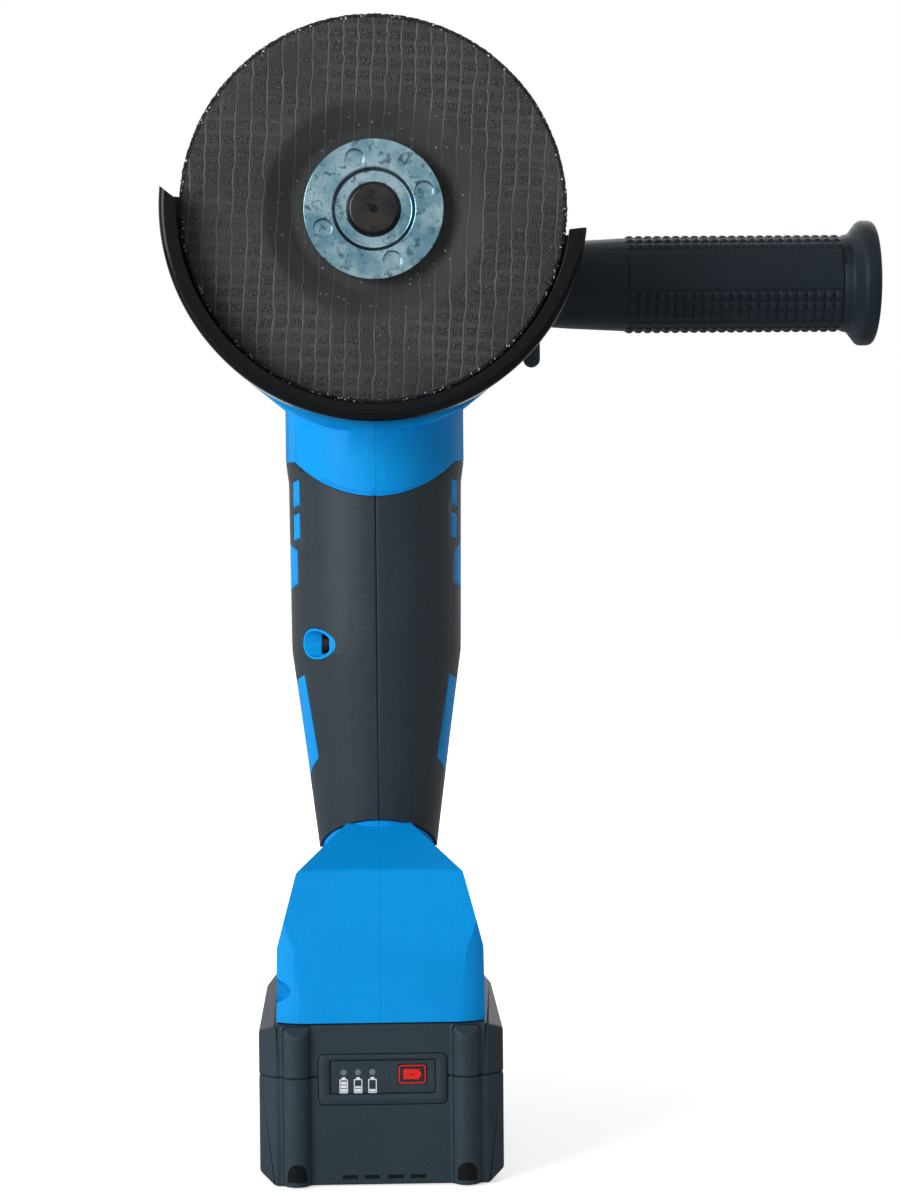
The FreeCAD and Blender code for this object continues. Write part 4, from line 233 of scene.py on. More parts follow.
def aboutSpindle(tree, turn=0.0):
    # object coordinates, and the same with the spindle axis as their middle, turned about it
    whole = addNode(tree, "ShaderNodeTexCoord", (-1400, 0)).outputs["Object"]
    shift = addNode(tree, "ShaderNodeMapping", (-1200, 0), {
        "Vector": whole, "Location": (0, 0, -spindleHeight)})
    lean = addNode(tree, "ShaderNodeMapping", (-1000, 0), {
        "Vector": shift.outputs[0], "Rotation": (0, math.radians(turn), 0)})
    return whole, lean.outputs[0]


def fromAxis(tree, vector):
    # distance from the spindle axis, and its two parts
    apart = addNode(tree, "ShaderNodeSeparateXYZ", (-800, 200), {0: vector})
    across, up = apart.outputs["X"], apart.outputs["Z"]
    square = calc(tree, "MULTIPLY_ADD", across, across, calc(tree, "MULTIPLY", up, up))
    return calc(tree, "SQRT", square), across, up


def offLine(tree, place, spacing):
    # how far a place is from the nearest of evenly spaced lines, as a share of their spacing: 0 to 0.5
    turns = calc(tree, "ADD", calc(tree, "DIVIDE", place, spacing), 50.0)
    return calc(tree, "ABSOLUTE", calc(tree, "SUBTRACT", calc(tree, "FRACT", turns), 0.5))


# the wheel's woven face: threads up and down, rows of pebbles between them, plain at the hub, and a cut rim
weave = {
    "thread": 0.00435, "row": 0.0041, "lean": -3.0,  # spacings, and the turn of the weave in degrees
    "wander": 0.0017, "swayAcross": 0.0016, "swayUp": 0.0012, "ragged": 0.3,  # how far the lines stray
    "threadEdge": (0.035, 0.075), "blockEdge": (0.09, 0.17), "rowEdge": (0.25, 0.34),  # shares of a spacing
    "wanderScale": 190, "swayScale": 60, "raggedScale": 900, "patchScale": 75, "fineScale": 2000,
    "cloudScale": 45, "gritScale": 2300.0, "pebble": 0.00052, "pebbleEdge": (0.3, 0.78), "patchy": (0.3, 0.6),
    "plain": (0.029, 0.037), "threadStart": 0.025, "hubEnd": 0.036, "rim": (0.0560, 0.0563),  # radii
    "threadHeight": 0.0004, "pebbleHeight": 0.0004, "gritHeight": 0.0002, "fineHeight": 0.00003,
    "faceColors": (linear(50, 50, 51), linear(64, 64, 64)), "fineColor": linear(100, 99, 97),
    "hubColor": linear(34, 34, 35), "pebbleShadeColors": (linear(36, 36, 36), linear(84, 83, 82)),
    "threadColor": linear(106, 107, 104), "gritColors": (linear(10, 11, 14), linear(46, 48, 54)),
    "paintedGlintColor": linear(190, 200, 214), "rustColor": linear(170, 78, 40),
    "speckColor": linear(176, 172, 166)}


def makeWeaveGroup():
    # threads and pebble rows from how far a point is from the nearest lines, faded by its radius
    group, _, leave = newGroup("wovenAbrasive", {})
    w = weave
    place, flat = aboutSpindle(group, w["lean"])
    radius, across, up = fromAxis(group, flat)
    # each line strays by a quick wander and a slow sway
    wander = calc(group, "SUBTRACT", noiseOn(group, flat, w["wanderScale"], 2.0), 0.5)
    sway = calc(group, "SUBTRACT", noiseOn(group, flat, w["swayScale"], 1.0), 0.5)
    acrossMoved = calc(group, "ADD", calc(group, "MULTIPLY_ADD", wander, w["wander"], across),
                       calc(group, "MULTIPLY", sway, w["swayAcross"]))
    upMoved = calc(group, "ADD", calc(group, "MULTIPLY_ADD", wander, -w["wander"] * 0.7, up),
                   calc(group, "MULTIPLY", sway, w["swayUp"]))
    column, row = offLine(group, acrossMoved, w["thread"]), offLine(group, upMoved, w["row"])
    thread = ramp(group, column, *w["threadEdge"], 1.0, 0.0)
    ragged = calc(group, "SUBTRACT", noiseOn(group, flat, w["raggedScale"], 2.0), 0.5)
    ragged = calc(group, "MULTIPLY", ragged, w["ragged"])
    block = calc(group, "MULTIPLY", ramp(group, calc(group, "ADD", column, ragged), *w["blockEdge"]),
                 ramp(group, calc(group, "ADD", row, ragged), *w["rowEdge"], 1.0, 0.0))
    cells = addNode(group, "ShaderNodeTexVoronoi", (-800, -400), {
        "Vector": place, "Scale": 1 / w["pebble"], "Randomness": 1.0})
    pebble = ramp(group, cells.outputs["Distance"], *w["pebbleEdge"], 1.0, 0.0)
    outer = ramp(group, radius, *w["plain"])
    patchy = ramp(group, noiseOn(group, place, w["patchScale"], 2.0), *w["patchy"], 0.45, 1.0)
    worn = ramp(group, radius, w["threadStart"], w["plain"][1], 0.25, 1.0)
    threadShare = calc(group, "MULTIPLY", thread, calc(group, "MULTIPLY", patchy, worn))
    blockShare = calc(group, "MULTIPLY", calc(group, "MULTIPLY", block, outer), patchy)
    # colours of the face: clouds, fine dust, a darker hub that is partly painted shade in the bowl, pebbles
    # painted light in their middles and dark at their edges as painted highlight and shade, threads and specks
    fine = noiseOn(group, place, w["fineScale"], 4.0, 0.7)
    cloud = noiseOn(group, place, w["cloudScale"], 4.0)
    tone = blendColor(group, ramp(group, cloud, 0.35, 0.7), *w["faceColors"])
    tone = blendColor(group, ramp(group, fine, 0.55, 0.8, 0.0, 0.5), tone, w["fineColor"])
    # darker over the plain bowl: partly the plain face's own tone, partly painted shade in the bowl
    tone = blendColor(group, ramp(group, radius, w["plain"][0], w["hubEnd"], 0.42, 0.0), tone, w["hubColor"])
    # pebbles lighter in their middles and darker at their edges: a painted highlight on each lump and painted
    # shade between them
    pebbleLitAndShaded = blendColor(group, pebble, *w["pebbleShadeColors"])
    tone = blendColor(group, calc(group, "MULTIPLY", blockShare, 0.8), tone, pebbleLitAndShaded)
    tone = blendColor(group, calc(group, "MULTIPLY", threadShare, 0.7), tone, w["threadColor"])
    # colours of the rim: dark chips, some with a painted glint and a few of rust
    grit = addNode(group, "ShaderNodeTexVoronoi", (-800, -700), {
        "Vector": place, "Scale": w["gritScale"], "Randomness": 1.0})
    chip = addNode(group, "ShaderNodeSeparateColor", (-600, -700), {0: grit.outputs["Color"]}).outputs
    gritTone = blendColor(group, ramp(group, chip[0], 0.2, 0.9), *w["gritColors"])
    # a few chips near white: a painted glint
    gritTone = blendColor(group, ramp(group, chip[1], 0.955, 0.965), gritTone, w["paintedGlintColor"])
    gritTone = blendColor(group, ramp(group, chip[2], 0.988, 0.992), gritTone, w["rustColor"])
    speck = calc(group, "MULTIPLY", ramp(group, chip[1], 0.994, 0.997),
                 ramp(group, radius, 0.02, 0.036, 1.0, 0.25))
    tone = blendColor(group, calc(group, "MULTIPLY", speck, 0.7), tone, w["speckColor"])
    rim = ramp(group, radius, *w["rim"])
    feed(group, blendColor(group, rim, tone, gritTone), leave["Color"])
    feed(group, ramp(group, fine, 0.3, 0.8, 0.68, 0.86), leave["Roughness"])
    height = calc(group, "MULTIPLY", threadShare, w["threadHeight"])
    pebbles = calc(group, "MULTIPLY", pebble, blockShare)
    height = calc(group, "MULTIPLY_ADD", pebbles, w["pebbleHeight"], height)
    height = calc(group, "MULTIPLY_ADD", calc(group, "MULTIPLY", chip[0], rim), w["gritHeight"], height)
    height = calc(group, "MULTIPLY_ADD", fine, w["fineHeight"], height)
    feed(group, relief(group, height), leave["Normal"])
    return group


# turned and plated metal: scales of its lines, stains and patches, how far the last two darken it, how far the
# patches change its roughness, and the least roughness
turned = {"lines": 3400, "stains": 110, "patches": 420, "patchShare": 0.8, "lineShare": 0.35, "swing": 0.25,
          "leastRoughness": 0.08}


def makeMetalGroup():
    # lines from noise of the radius alone; stains and patches from noise of the place
    group, entry, leave = newGroup("turnedMetal", {
        "Color": (0.6, 0.6, 0.6, 1), "Stain": (0.5, 0.6, 0.7, 1), "Dark": (0.2, 0.22, 0.25, 1),
        "Roughness": 0.3, "Line Height": 0.00002})
    place, flat = aboutSpindle(group)
    radius = fromAxis(group, flat)[0]
    around = addNode(group, "ShaderNodeCombineXYZ", (-400, 300), {"X": radius})
    lines = noiseOn(group, around.outputs[0], turned["lines"], 3.0, 0.7)
    cloud = noiseOn(group, place, turned["stains"], 4.0)
    patch = noiseOn(group, place, turned["patches"], 3.0, 0.6, 0.8)
    tone = blendColor(group, ramp(group, cloud, 0.35, 0.68), entry["Color"], entry["Stain"])
    tone = blendColor(group, ramp(group, patch, 0.52, 0.7, 0.0, turned["patchShare"]), tone, entry["Dark"])
    tone = blendColor(group, ramp(group, lines, 0.45, 0.8, 0.0, turned["lineShare"]), tone, entry["Dark"])
    feed(group, tone, leave["Color"])
    swing = calc(group, "SUBTRACT", patch, 0.5)
    rough = calc(group, "MULTIPLY_ADD", swing, turned["swing"], entry["Roughness"])
    feed(group, calc(group, "MAXIMUM", rough, turned["leastRoughness"]), leave["Roughness"])
    feed(group, relief(group, lines, entry["Line Height"]), leave["Normal"])
    return group


# moulded plastic and rubber: scales of its slow changes of tone and its scuffs, where a scuff starts and is
# full, and how far the grain's tops lighten it
dust = {"clouds": 38.0, "scuffs": 260.0, "scuffEdge": (0.6, 0.78), "speckle": 0.4}


def makeMouldedGroup():
    # fine grain in relief, and a lighter colour shared out by clouds, scuffs and the grain's tops
    group, entry, leave = newGroup("mouldedSurface", {
        "Color": (0.5, 0.5, 0.5, 1), "Light Color": (0.6, 0.6, 0.6, 1), "Grain Size": 0.0006,
        "Grain Height": 0.00004, "Tone": 0.5, "Scuffs": 0.3, "Roughness": 0.5, "Roughness Change": 0.1})
    place = addNode(group, "ShaderNodeTexCoord", (-1200, 400)).outputs["Object"]
    grain = noiseOn(group, place, calc(group, "DIVIDE", 1.0, entry["Grain Size"]))
    cloud = noiseOn(group, place, dust["clouds"], 4.0, 0.55)
    scuffs = noiseOn(group, place, dust["scuffs"], 6.0, 0.7, 0.6)
    scuffs = ramp(group, scuffs, *dust["scuffEdge"], curve="LINEAR")
    share = calc(group, "ADD", calc(group, "MULTIPLY", cloud, entry["Tone"]),
                 calc(group, "MULTIPLY", scuffs, entry["Scuffs"]), clamp=True)
    share = calc(group, "ADD", share, ramp(group, grain, 0.42, 0.72, 0.0, dust["speckle"]), clamp=True)
    feed(group, blendColor(group, share, entry["Color"], entry["Light Color"]), leave["Color"])
    swing = calc(group, "SUBTRACT", cloud, 0.5)
    feed(group, calc(group, "MULTIPLY_ADD", swing, entry["Roughness Change"], entry["Roughness"], clamp=True),
         leave["Roughness"])
    feed(group, relief(group, grain, entry["Grain Height"]), leave["Normal"])
    return group


mouldedSurface = makeMouldedGroup()
wovenAbrasive = makeWeaveGroup()
turnedMetal = makeMetalGroup()


def surfaced(name, group, values, fixed):
    # a material on a node group; fixed holds the shader's own constant sockets
    material, tree, shader = newTree(name)
    surface = addNode(tree, "ShaderNodeGroup", (-300, 0), values, node_tree=group)
    for target, source in (("Base Color", "Color"), ("Roughness", "Roughness"), ("Normal", "Normal")):
        tree.links.new(surface.outputs[source], shader.inputs[target])
    for key, value in fixed.items():
        shader.inputs[key].default_value = value
    return material


def moulded(name, color, lightColor, values, specular=0.3):
    values = {"Color": color, "Light Color": lightColor, **values}
    return surfaced(name, mouldedSurface, values, {"Specular IOR Level": specular})


def plated(name, color, stain, dark, roughness):
    values = {"Color": color, "Stain": stain, "Dark": dark, "Roughness": roughness}
    return surfaced(name, turnedMetal, values, {"Metallic": 1.0})


# one material for each slot of the record
materials = {
    "blue_plastic": moulded("bluePlastic", linear(0, 134, 214), linear(0, 160, 236), {
        "Grain Size": 0.00045, "Grain Height": 0.00009, "Tone": 0.8, "Scuffs": 0.3, "Roughness": 0.5}, 0.12),
    "soft_grip": moulded("softGrip", linear(28, 38, 45), linear(52, 63, 71), {
        "Grain Size": 0.0004, "Grain Height": 0.00004, "Tone": 0.45, "Scuffs": 0.35, "Roughness": 0.5}, 0.22),
    "black_plastic": moulded("blackPlastic", linear(34, 46, 54), linear(62, 75, 84), {
        "Grain Size": 0.0004, "Grain Height": 0.00009, "Tone": 0.35, "Scuffs": 0.45, "Roughness": 0.5}, 0.16),
    "grey_plastic": moulded("greyPlastic", linear(150, 154, 158), linear(170, 174, 178), {"Roughness": 0.45}),
    "red_plastic": moulded("redPlastic", linear(24, 26, 30), linear(44, 40, 44), {"Roughness": 0.35}),
    "lens": moulded("lightLens", linear(96, 104, 108), linear(130, 138, 142), {"Roughness": 0.2}),
    "circuit_board": moulded("circuitBoard", linear(22, 84, 56), linear(34, 110, 72), {"Roughness": 0.4}),
    "cell_sleeve": moulded("cellSleeve", linear(64, 120, 84), linear(80, 140, 100), {"Roughness": 0.3}),
    "guard_paint": moulded("guardPaint", linear(3, 5, 8), linear(12, 18, 24), {
        "Grain Size": 0.0016, "Grain Height": 0.00002, "Tone": 0.3, "Scuffs": 0.35, "Roughness": 0.16,
        "Roughness Change": 0.06}, 0.13),
    "abrasive": surfaced("abrasive", wovenAbrasive, {}, {"Specular IOR Level": 0.25}),
    "cast_head": moulded("castHead", linear(34, 36, 39), linear(60, 63, 67), {
        "Grain Size": 0.0008, "Grain Height": 0.00006, "Tone": 0.4, "Scuffs": 0.3, "Roughness": 0.5}),
    "zinc_steel": plated("zincSteel", linear(96, 134, 150), linear(150, 178, 188), linear(44, 68, 82), 0.24),
    "dark_steel": plated("darkSteel", linear(44, 45, 48), linear(60, 58, 56), linear(20, 20, 22), 0.34),
    "copper_wire": plated("copperWire", linear(184, 110, 70), linear(204, 130, 90),
                          linear(120, 66, 44), 0.35),
    "magnet": plated("magnet", linear(90, 92, 96), linear(110, 112, 116), linear(60, 62, 66), 0.35),
    "lamination": plated("lamination", linear(110, 112, 116), linear(130, 132, 136), linear(70, 72, 76), 0.4),
    "contact_metal": plated("contactMetal", linear(204, 176, 110), linear(220, 194, 130),
                            linear(150, 124, 74), 0.3),
}
# finishes of single pieces
handleRubber = moulded("handleRubber", linear(15, 24, 32), linear(36, 47, 56), {
    "Grain Size": 0.0005, "Grain Height": 0.00005, "Tone": 0.4, "Scuffs": 0.5, "Roughness": 0.5}, 0.16)
signWhite = moulded("signWhite", linear(222, 226, 232), linear(240, 240, 244), {
    "Tone": 0.5, "Roughness": 0.5})
signRed = moulded("signRed", linear(214, 22, 18), linear(240, 44, 32), {
    "Tone": 0.5, "Roughness": 0.4})
# a near black: painted shade in grooves, slots, wells and the spindle's centre, and the button's printed bolt
grooveDark = moulded("grooveDark", linear(10, 13, 16), linear(20, 24, 28), {
    "Tone": 0.5, "Roughness": 0.7}, 0.1)

slotOf = {part["node"]: part["material_slot"] for part in record["subparts"]}
bodyOf = {node: body for body, members in record["behaviour"]["bodies"].items() for node in members}
for name, node in nodes.items():
    node.data.materials.clear()
    node.data.materials.append(materials[slotOf[name]])
print("stage: materials")


def gridFaces(rows, columns, loop=False, ring=False):
    # quads of a grid whose points run row by row; loop joins its last column to its first, ring its last row
    row = np.arange(rows if ring else rows - 1)[:, None]
    column = np.arange(columns if loop else columns - 1)[None, :]
    onward = (column + 1) % columns
    below, above = row * columns, (row + 1) % rows * columns
    quads = np.stack([below + column, below + onward, above + onward, above + column], axis=-1)
    return quads.reshape(-1, 4).tolist()


def endCaps(rows, columns):
    # the two faces that close a looped grid at its first and last row
    first = list(range(columns))
    return [first[::-1], [(rows - 1) * columns + k for k in first]]


def addPiece(name, patches, body, material, sharp=35):
    # patches of (points, faces) as one mesh with outward faces, smooth up to an angle of sharp degrees
    points, faces, start = [], [], 0
    for patchPoints, patchFaces in patches:
        flat = np.asarray(patchPoints, float).reshape(-1, 3)
        points.extend(flat.tolist())
        faces.extend([[index + start for index in face] for face in patchFaces])
        start += len(flat)
    mesh = bpy.data.meshes.new(name)
    mesh.from_pydata(points, [], faces)
    work = bmesh.new()
    work.from_mesh(mesh)
    bmesh.ops.remove_doubles(work, verts=work.verts, dist=1e-7)
    bmesh.ops.recalc_face_normals(work, faces=work.faces)
    work.to_mesh(mesh)
    work.free()
    mesh.shade_smooth()
    mesh.set_sharp_from_angle(angle=math.radians(sharp))
    mesh.materials.append(material)
    piece = bpy.data.objects.new(name, mesh)
    bpy.context.scene.collection.objects.link(piece)
    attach(piece, body)
    return piece


def roundedPath(corners, radius, steps=6, closed=False):
    # a flat polyline with each inner corner, or each corner of a closed one, swapped for a quadratic arc that
    # touches both its runs where a true arc of this radius would, though never past their middles
    spots = [np.array(corner, float) for corner in corners]
    if closed:
        spots = spots[-1:] + spots + spots[:1]
    points = [] if closed else [spots[0]]
    for before, corner, after in zip(spots[:-2], spots[1:-1], spots[2:]):
        back, onward = before - corner, after - corner
        lengths = np.hypot(*back), np.hypot(*onward)
        back, onward = back / lengths[0], onward / lengths[1]
        half = math.acos(float(np.clip(back @ onward, -1, 1))) / 2
        reach = min(radius / math.tan(half), 0.48 * min(lengths))
        share = np.linspace(0, 1, steps + 1)[:, None]
        start, end = corner + back * reach, corner + onward * reach
        points.extend((1 - share) ** 2 * start + 2 * share * (1 - share) * corner + share ** 2 * end)
    if not closed:
        points.append(spots[-1])
    return np.array(points)


def turnedPoints(profile, angles, center):
    # a profile of (radius, forward) swung about the spindle: x = r cos a, y = -forward, z = center + r sin a
    radius, forward = profile[:, 0][None, :], profile[:, 1][None, :]
    turn = np.asarray(angles)[:, None]
    return np.stack([radius * np.cos(turn), -forward + 0 * turn, center + radius * np.sin(turn)], axis=-1)


def softened(name, node, width, segments=2, weight=None, limit=24):
    # a merged copy of a CAD node with its edges rounded by width; weight(middle of each edge) scales it
    mesh = nodes[node].data.copy()
    mesh.name = name
    work = bmesh.new()
    work.from_mesh(mesh)
    bmesh.ops.remove_doubles(work, verts=work.verts, dist=2e-6)
    bmesh.ops.dissolve_limit(work, angle_limit=math.radians(0.4), verts=work.verts, edges=work.edges)
    if weight:
        layer = work.edges.layers.float.new("bevel_weight_edge")
        for edge in work.edges:
            sharp = len(edge.link_faces) == 2 and edge.calc_face_angle(0) > math.radians(limit)
            middle = (edge.verts[0].co + edge.verts[1].co) / 2
            edge[layer] = weight(middle) if sharp else 0
    work.to_mesh(mesh)
    work.free()
    mesh.shade_smooth()
    mesh.set_sharp_from_angle(angle=math.radians(limit))
    piece = bpy.data.objects.new(name, mesh)
    bpy.context.scene.collection.objects.link(piece)
    bevel = piece.modifiers.new("edges", "BEVEL")
    bevel.width = width
    bevel.segments = segments
    bevel.limit_method = "WEIGHT" if weight else "ANGLE"
    bevel.angle_limit = math.radians(limit)
    bevel.use_clamp_overlap = False
    bevel.harden_normals = True
    bevel.miter_outer = "MITER_ARC"
    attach(piece, bodyOf[node])
    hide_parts(node)


# where the edges of the larger shells are rounded, and where they stay as they are, with shares of the width
softening = {"hemTop": 0.122, "partingHalf": 0.0002, "coverParting": 0.5, "parting": 0.16,
             "partingStart": 0.017, "footTop": 0.16, "folds": (0.075, 0.1), "foldFront": -0.028,
             "foldHalf": 0.024, "headRim": 0.3205, "latchFront": 0.044, "latchHalf": 0.016}


def coverWeight(place):
    # all of the grip's skin above its lower hem, and half as much along its parting line below
    if place.z > softening["hemTop"]:
        return 1.0
    return softening["coverParting"] if abs(place.x) < softening["partingHalf"] else 0.0


def housingWeight(place):
    # a fine groove along the parting line and soft folds on the front of the foot
    s = softening
    if abs(place.x) < s["partingHalf"]:
        return s["parting"] if abs(place.y) > s["partingStart"] else 0.0
    if place.z > s["footTop"]:
        return 0.0
    low, high = s["folds"]
    return 1.0 if low < place.z < high and place.y < s["foldFront"] and abs(place.x) < s["foldHalf"] else 0.0


def headWeight(place):
    # the head's top rim only
    return 1.0 if place.z > softening["headRim"] else 0.0


def packWeight(place):
    # the latch's room keeps its edges, so that the button clears them
    return 0.0 if place.y > softening["latchFront"] and abs(place.x) < softening["latchHalf"] else 1.0


# CAD nodes with their edges rounded: piece, node, width of the rounding, steps in it, weight, least angle
softEdges = [
    ("bearingBox", "bearing_box", 0.0006, 2),
    ("clampNut", "lock_nut", 0.00025, 2),
    ("packBottom", "battery_case_bottom", 0.0008, 3),
    ("guardLever", "guard_lever", 0.0005, 2),
    ("spindleShaft", "spindle", 0.0003, 2),
    ("gearHead", "gear_case", 0.0009, 3, headWeight),
    ("packTop", "battery_case_top", 0.0008, 3, packWeight),
    ("rubberLeft", "grip_cover_left", 0.0005, 2, coverWeight),
    ("housingLeft", "housing_left", 0.0010, 3, housingWeight, 14),
    ("rubberRight", "grip_cover_right", 0.0005, 2, coverWeight),
    ("housingRight", "housing_right", 0.0010, 3, housingWeight, 14),
]
for row in softEdges:
    softened(*row)
print("stage: softened nodes")

# the wheel: a depressed-centre disc whose rim is rough cut grit
wheel = {"bore": 0.011115, "back": 0.0494, "hub": 0.0554, "face": 0.0600, "backFace": 0.0540, "floor": 0.024,
         "bowl": 0.0326, "radius": 0.0575, "backShift": 0.002, "frontBend": 0.0042, "backBend": 0.006,
         "round": 0.0006, "grit": 0.00035, "gritStart": 0.0020, "gritFade": 0.0010, "steps": 540, "seed": 5}


def wheelProfile():
    # (radius, forward) round the section, from the bore's back edge, out along the front face and home
    w = wheel
    shoulder = w["radius"] - 2 * w["round"]
    front = roundedPath([(w["bore"], w["hub"]), (w["floor"], w["hub"]), (w["bowl"], w["face"]),
                         (shoulder, w["face"])], w["frontBend"], 8)
    rim = roundedPath([(shoulder, w["face"]), (w["radius"], w["face"]), (w["radius"], w["backFace"]),
                       (shoulder, w["backFace"])], w["round"], 3)
    back = roundedPath([(shoulder, w["backFace"]), (w["bowl"] + w["backShift"], w["backFace"]),
                        (w["floor"] + w["backShift"], w["back"]), (w["bore"], w["back"])], w["backBend"], 8)
    return np.concatenate([front, rim[1:], back[1:]])


def addWheel():
    # the profile swung round the spindle; near the rim each point moves in by grit times a random share
    w = wheel
    profile = wheelProfile()
    angles = np.linspace(0, 2 * math.pi, w["steps"], endpoint=False)
    points = turnedPoints(profile, angles, 0)
    draw = np.random.default_rng(w["seed"]).random(points.shape[:2])
    near = np.clip((profile[:, 0] - (w["radius"] - w["gritStart"])) / w["gritFade"], 0, 1)[None, :]
    shrink = 1 - draw * near * w["grit"] / w["radius"]
    points[..., 0] *= shrink
    points[..., 2] *= shrink
    points[..., 2] += spindleHeight
    rows = np.transpose(points, (1, 0, 2))
    piece = addPiece("abrasiveDisc", [(rows, gridFaces(len(profile), len(angles), True, True))], "spindle",
                     materials["abrasive"], 50)
    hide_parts("grinding_wheel")


addWheel()

# the guard: half a drum with a rolled lip, on a collar
guard = {"turn": -5.9, "collarBore": 0.02106, "collar": 0.0236, "collarBack": 0.030, "web": 0.027,
         "back": 0.0362, "front": 0.069, "radius": 0.0629, "lip": 0.0577, "sheet": 0.002, "corner": 0.0024,
         "insideCorner": 0.0008, "tipLap": 0.0006, "steps": 200, "lipZone": 0.003, "cutStart": 0.06,
         "cutEnd": 0.02, "cutPower": 12, "collarRound": 0.0004, "collarSteps": 128, "edge": 0.0005}


def sheetProfile():
    # the closed section of the half drum as (radius, forward): out over the back, round the drum, back inside
    g = guard
    t, lap = g["sheet"], g["lip"] + g["tipLap"]
    outside = roundedPath([(g["collarBore"], g["back"]), (g["radius"], g["back"]), (g["radius"], g["front"]),
                           (g["lip"], g["front"])], g["corner"], 7)
    tip = roundedPath([(lap, g["front"]), (g["lip"], g["front"]), (g["lip"], g["front"] - t),
                       (lap, g["front"] - t)], t / 2.2, 4)
    inside = roundedPath([(lap, g["front"] - t), (g["radius"] - t, g["front"] - t),
                          (g["radius"] - t, g["back"] + t), (g["collarBore"], g["back"] + t)],
                         g["insideCorner"], 4)
    return np.concatenate([outside[:-1], tip[1:], inside[1:]])


def collarPatch():
    # the ring on the neck: a closed section swung all the way round
    g = guard
    inner = g["back"] + g["sheet"]
    section = roundedPath([(g["web"], g["back"]), (g["collar"], g["back"]), (g["collar"], g["collarBack"]),
                           (g["collarBore"], g["collarBack"]), (g["collarBore"], inner), (g["web"], inner),
                           (g["web"], g["back"])], g["collarRound"], 3)[:-1]
    angles = np.linspace(0, 2 * math.pi, g["collarSteps"], endpoint=False)
    rows = np.transpose(turnedPoints(section, angles, spindleHeight), (1, 0, 2))
    return rows, gridFaces(len(section), len(angles), True, True)


def addGuard():
    # the sheet's section swung through half a turn, its lip cut back at both ends, most at the inner edge
    g = guard
    profile = sheetProfile()
    end = math.radians(g["turn"])
    angles = np.linspace(end - math.pi, end, g["steps"])
    inLip = profile[:, 1] > g["front"] - g["lipZone"]
    inward = np.clip((g["radius"] - profile[:, 0]) / (g["radius"] - g["lip"]), 0, 1)
    cutBack = np.where(inLip, inward, 0)[:, None]
    share = np.linspace(1, 0, g["steps"])[None, :]
    cut = g["cutStart"] * share ** g["cutPower"] - g["cutEnd"] * (1 - share) ** g["cutPower"]
    swung = angles[None, :] + cutBack * cut
    radius, forward = profile[:, :1], profile[:, 1:] + 0 * swung
    shell = np.stack([radius * np.cos(swung), -forward, spindleHeight + radius * np.sin(swung)], axis=-1)
    count, turns = len(profile), len(angles)
    ends = [[row * turns for row in range(count)], [row * turns + turns - 1 for row in range(count)][::-1]]
    patches = [(shell, gridFaces(count, turns, False, True) + ends), collarPatch()]
    piece = addPiece("guardShell", patches, "guard", materials["guard_paint"], 40)
    bevel = piece.modifiers.new("edges", "BEVEL")
    bevel.width, bevel.segments = g["edge"], 3
    bevel.limit_method, bevel.angle_limit = "ANGLE", math.radians(60)
    bevel.harden_normals = True
    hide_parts("guard")


addGuard()

# the side handle's grip: a turned form along x with small pyramids, a flat panel in front and a flange
handle = {"height": 0.2772, "start": 0.03906, "neckEnd": 0.046, "swell": 0.062, "grip": 0.0797,
          "gripEnd": 0.1506, "flange": 0.154, "end": 0.1589,
          "core": 0.00908, "neckRadius": 0.0126, "swellRadius": 0.0138,
          "gripRadius": 0.0154, "flangeRadius": 0.0198, "neckRound": 0.0012, "flangeRound": 0.0024,
          "endHole": 0.0004, "pitch": 0.00296, "columns": 23, "rows": 26, "firstRow": -26.3, "perCell": 6,
          "valley": 0.0007, "steep": 1.7, "panelDip": 0.0003, "panelRows": (1, 5), "panelEdge": 0.1,
          "slack": 0.01,
          "notch": (0.1476, 0.1504), "notchTurn": (22, 44), "notchDip": 0.0011}


def gripPath():
    # (along, radius): neck and swell, the waffle's even steps, then the flange with its corners rounded
    h = handle
    last = h["grip"] + h["columns"] * h["pitch"]
    neck = roundedPath([(h["start"], h["core"]), (h["start"], h["neckRadius"]),
                        (h["neckEnd"], h["neckRadius"]), (h["swell"], h["swellRadius"]),
                        (h["grip"], h["gripRadius"])], h["neckRound"], 5)
    steps = np.linspace(h["grip"], last, h["columns"] * h["perCell"] + 1)
    waffle = np.stack([steps, np.full_like(steps, h["gripRadius"])], axis=-1)
    flange = roundedPath([(last, h["gripRadius"]), (h["gripEnd"], h["gripRadius"]),
                          (h["flange"], h["flangeRadius"]), (h["end"], h["flangeRadius"]),
                          (h["end"], h["endHole"])], h["flangeRound"], 8)
    return np.concatenate([neck, waffle[1:], flange[1:]])


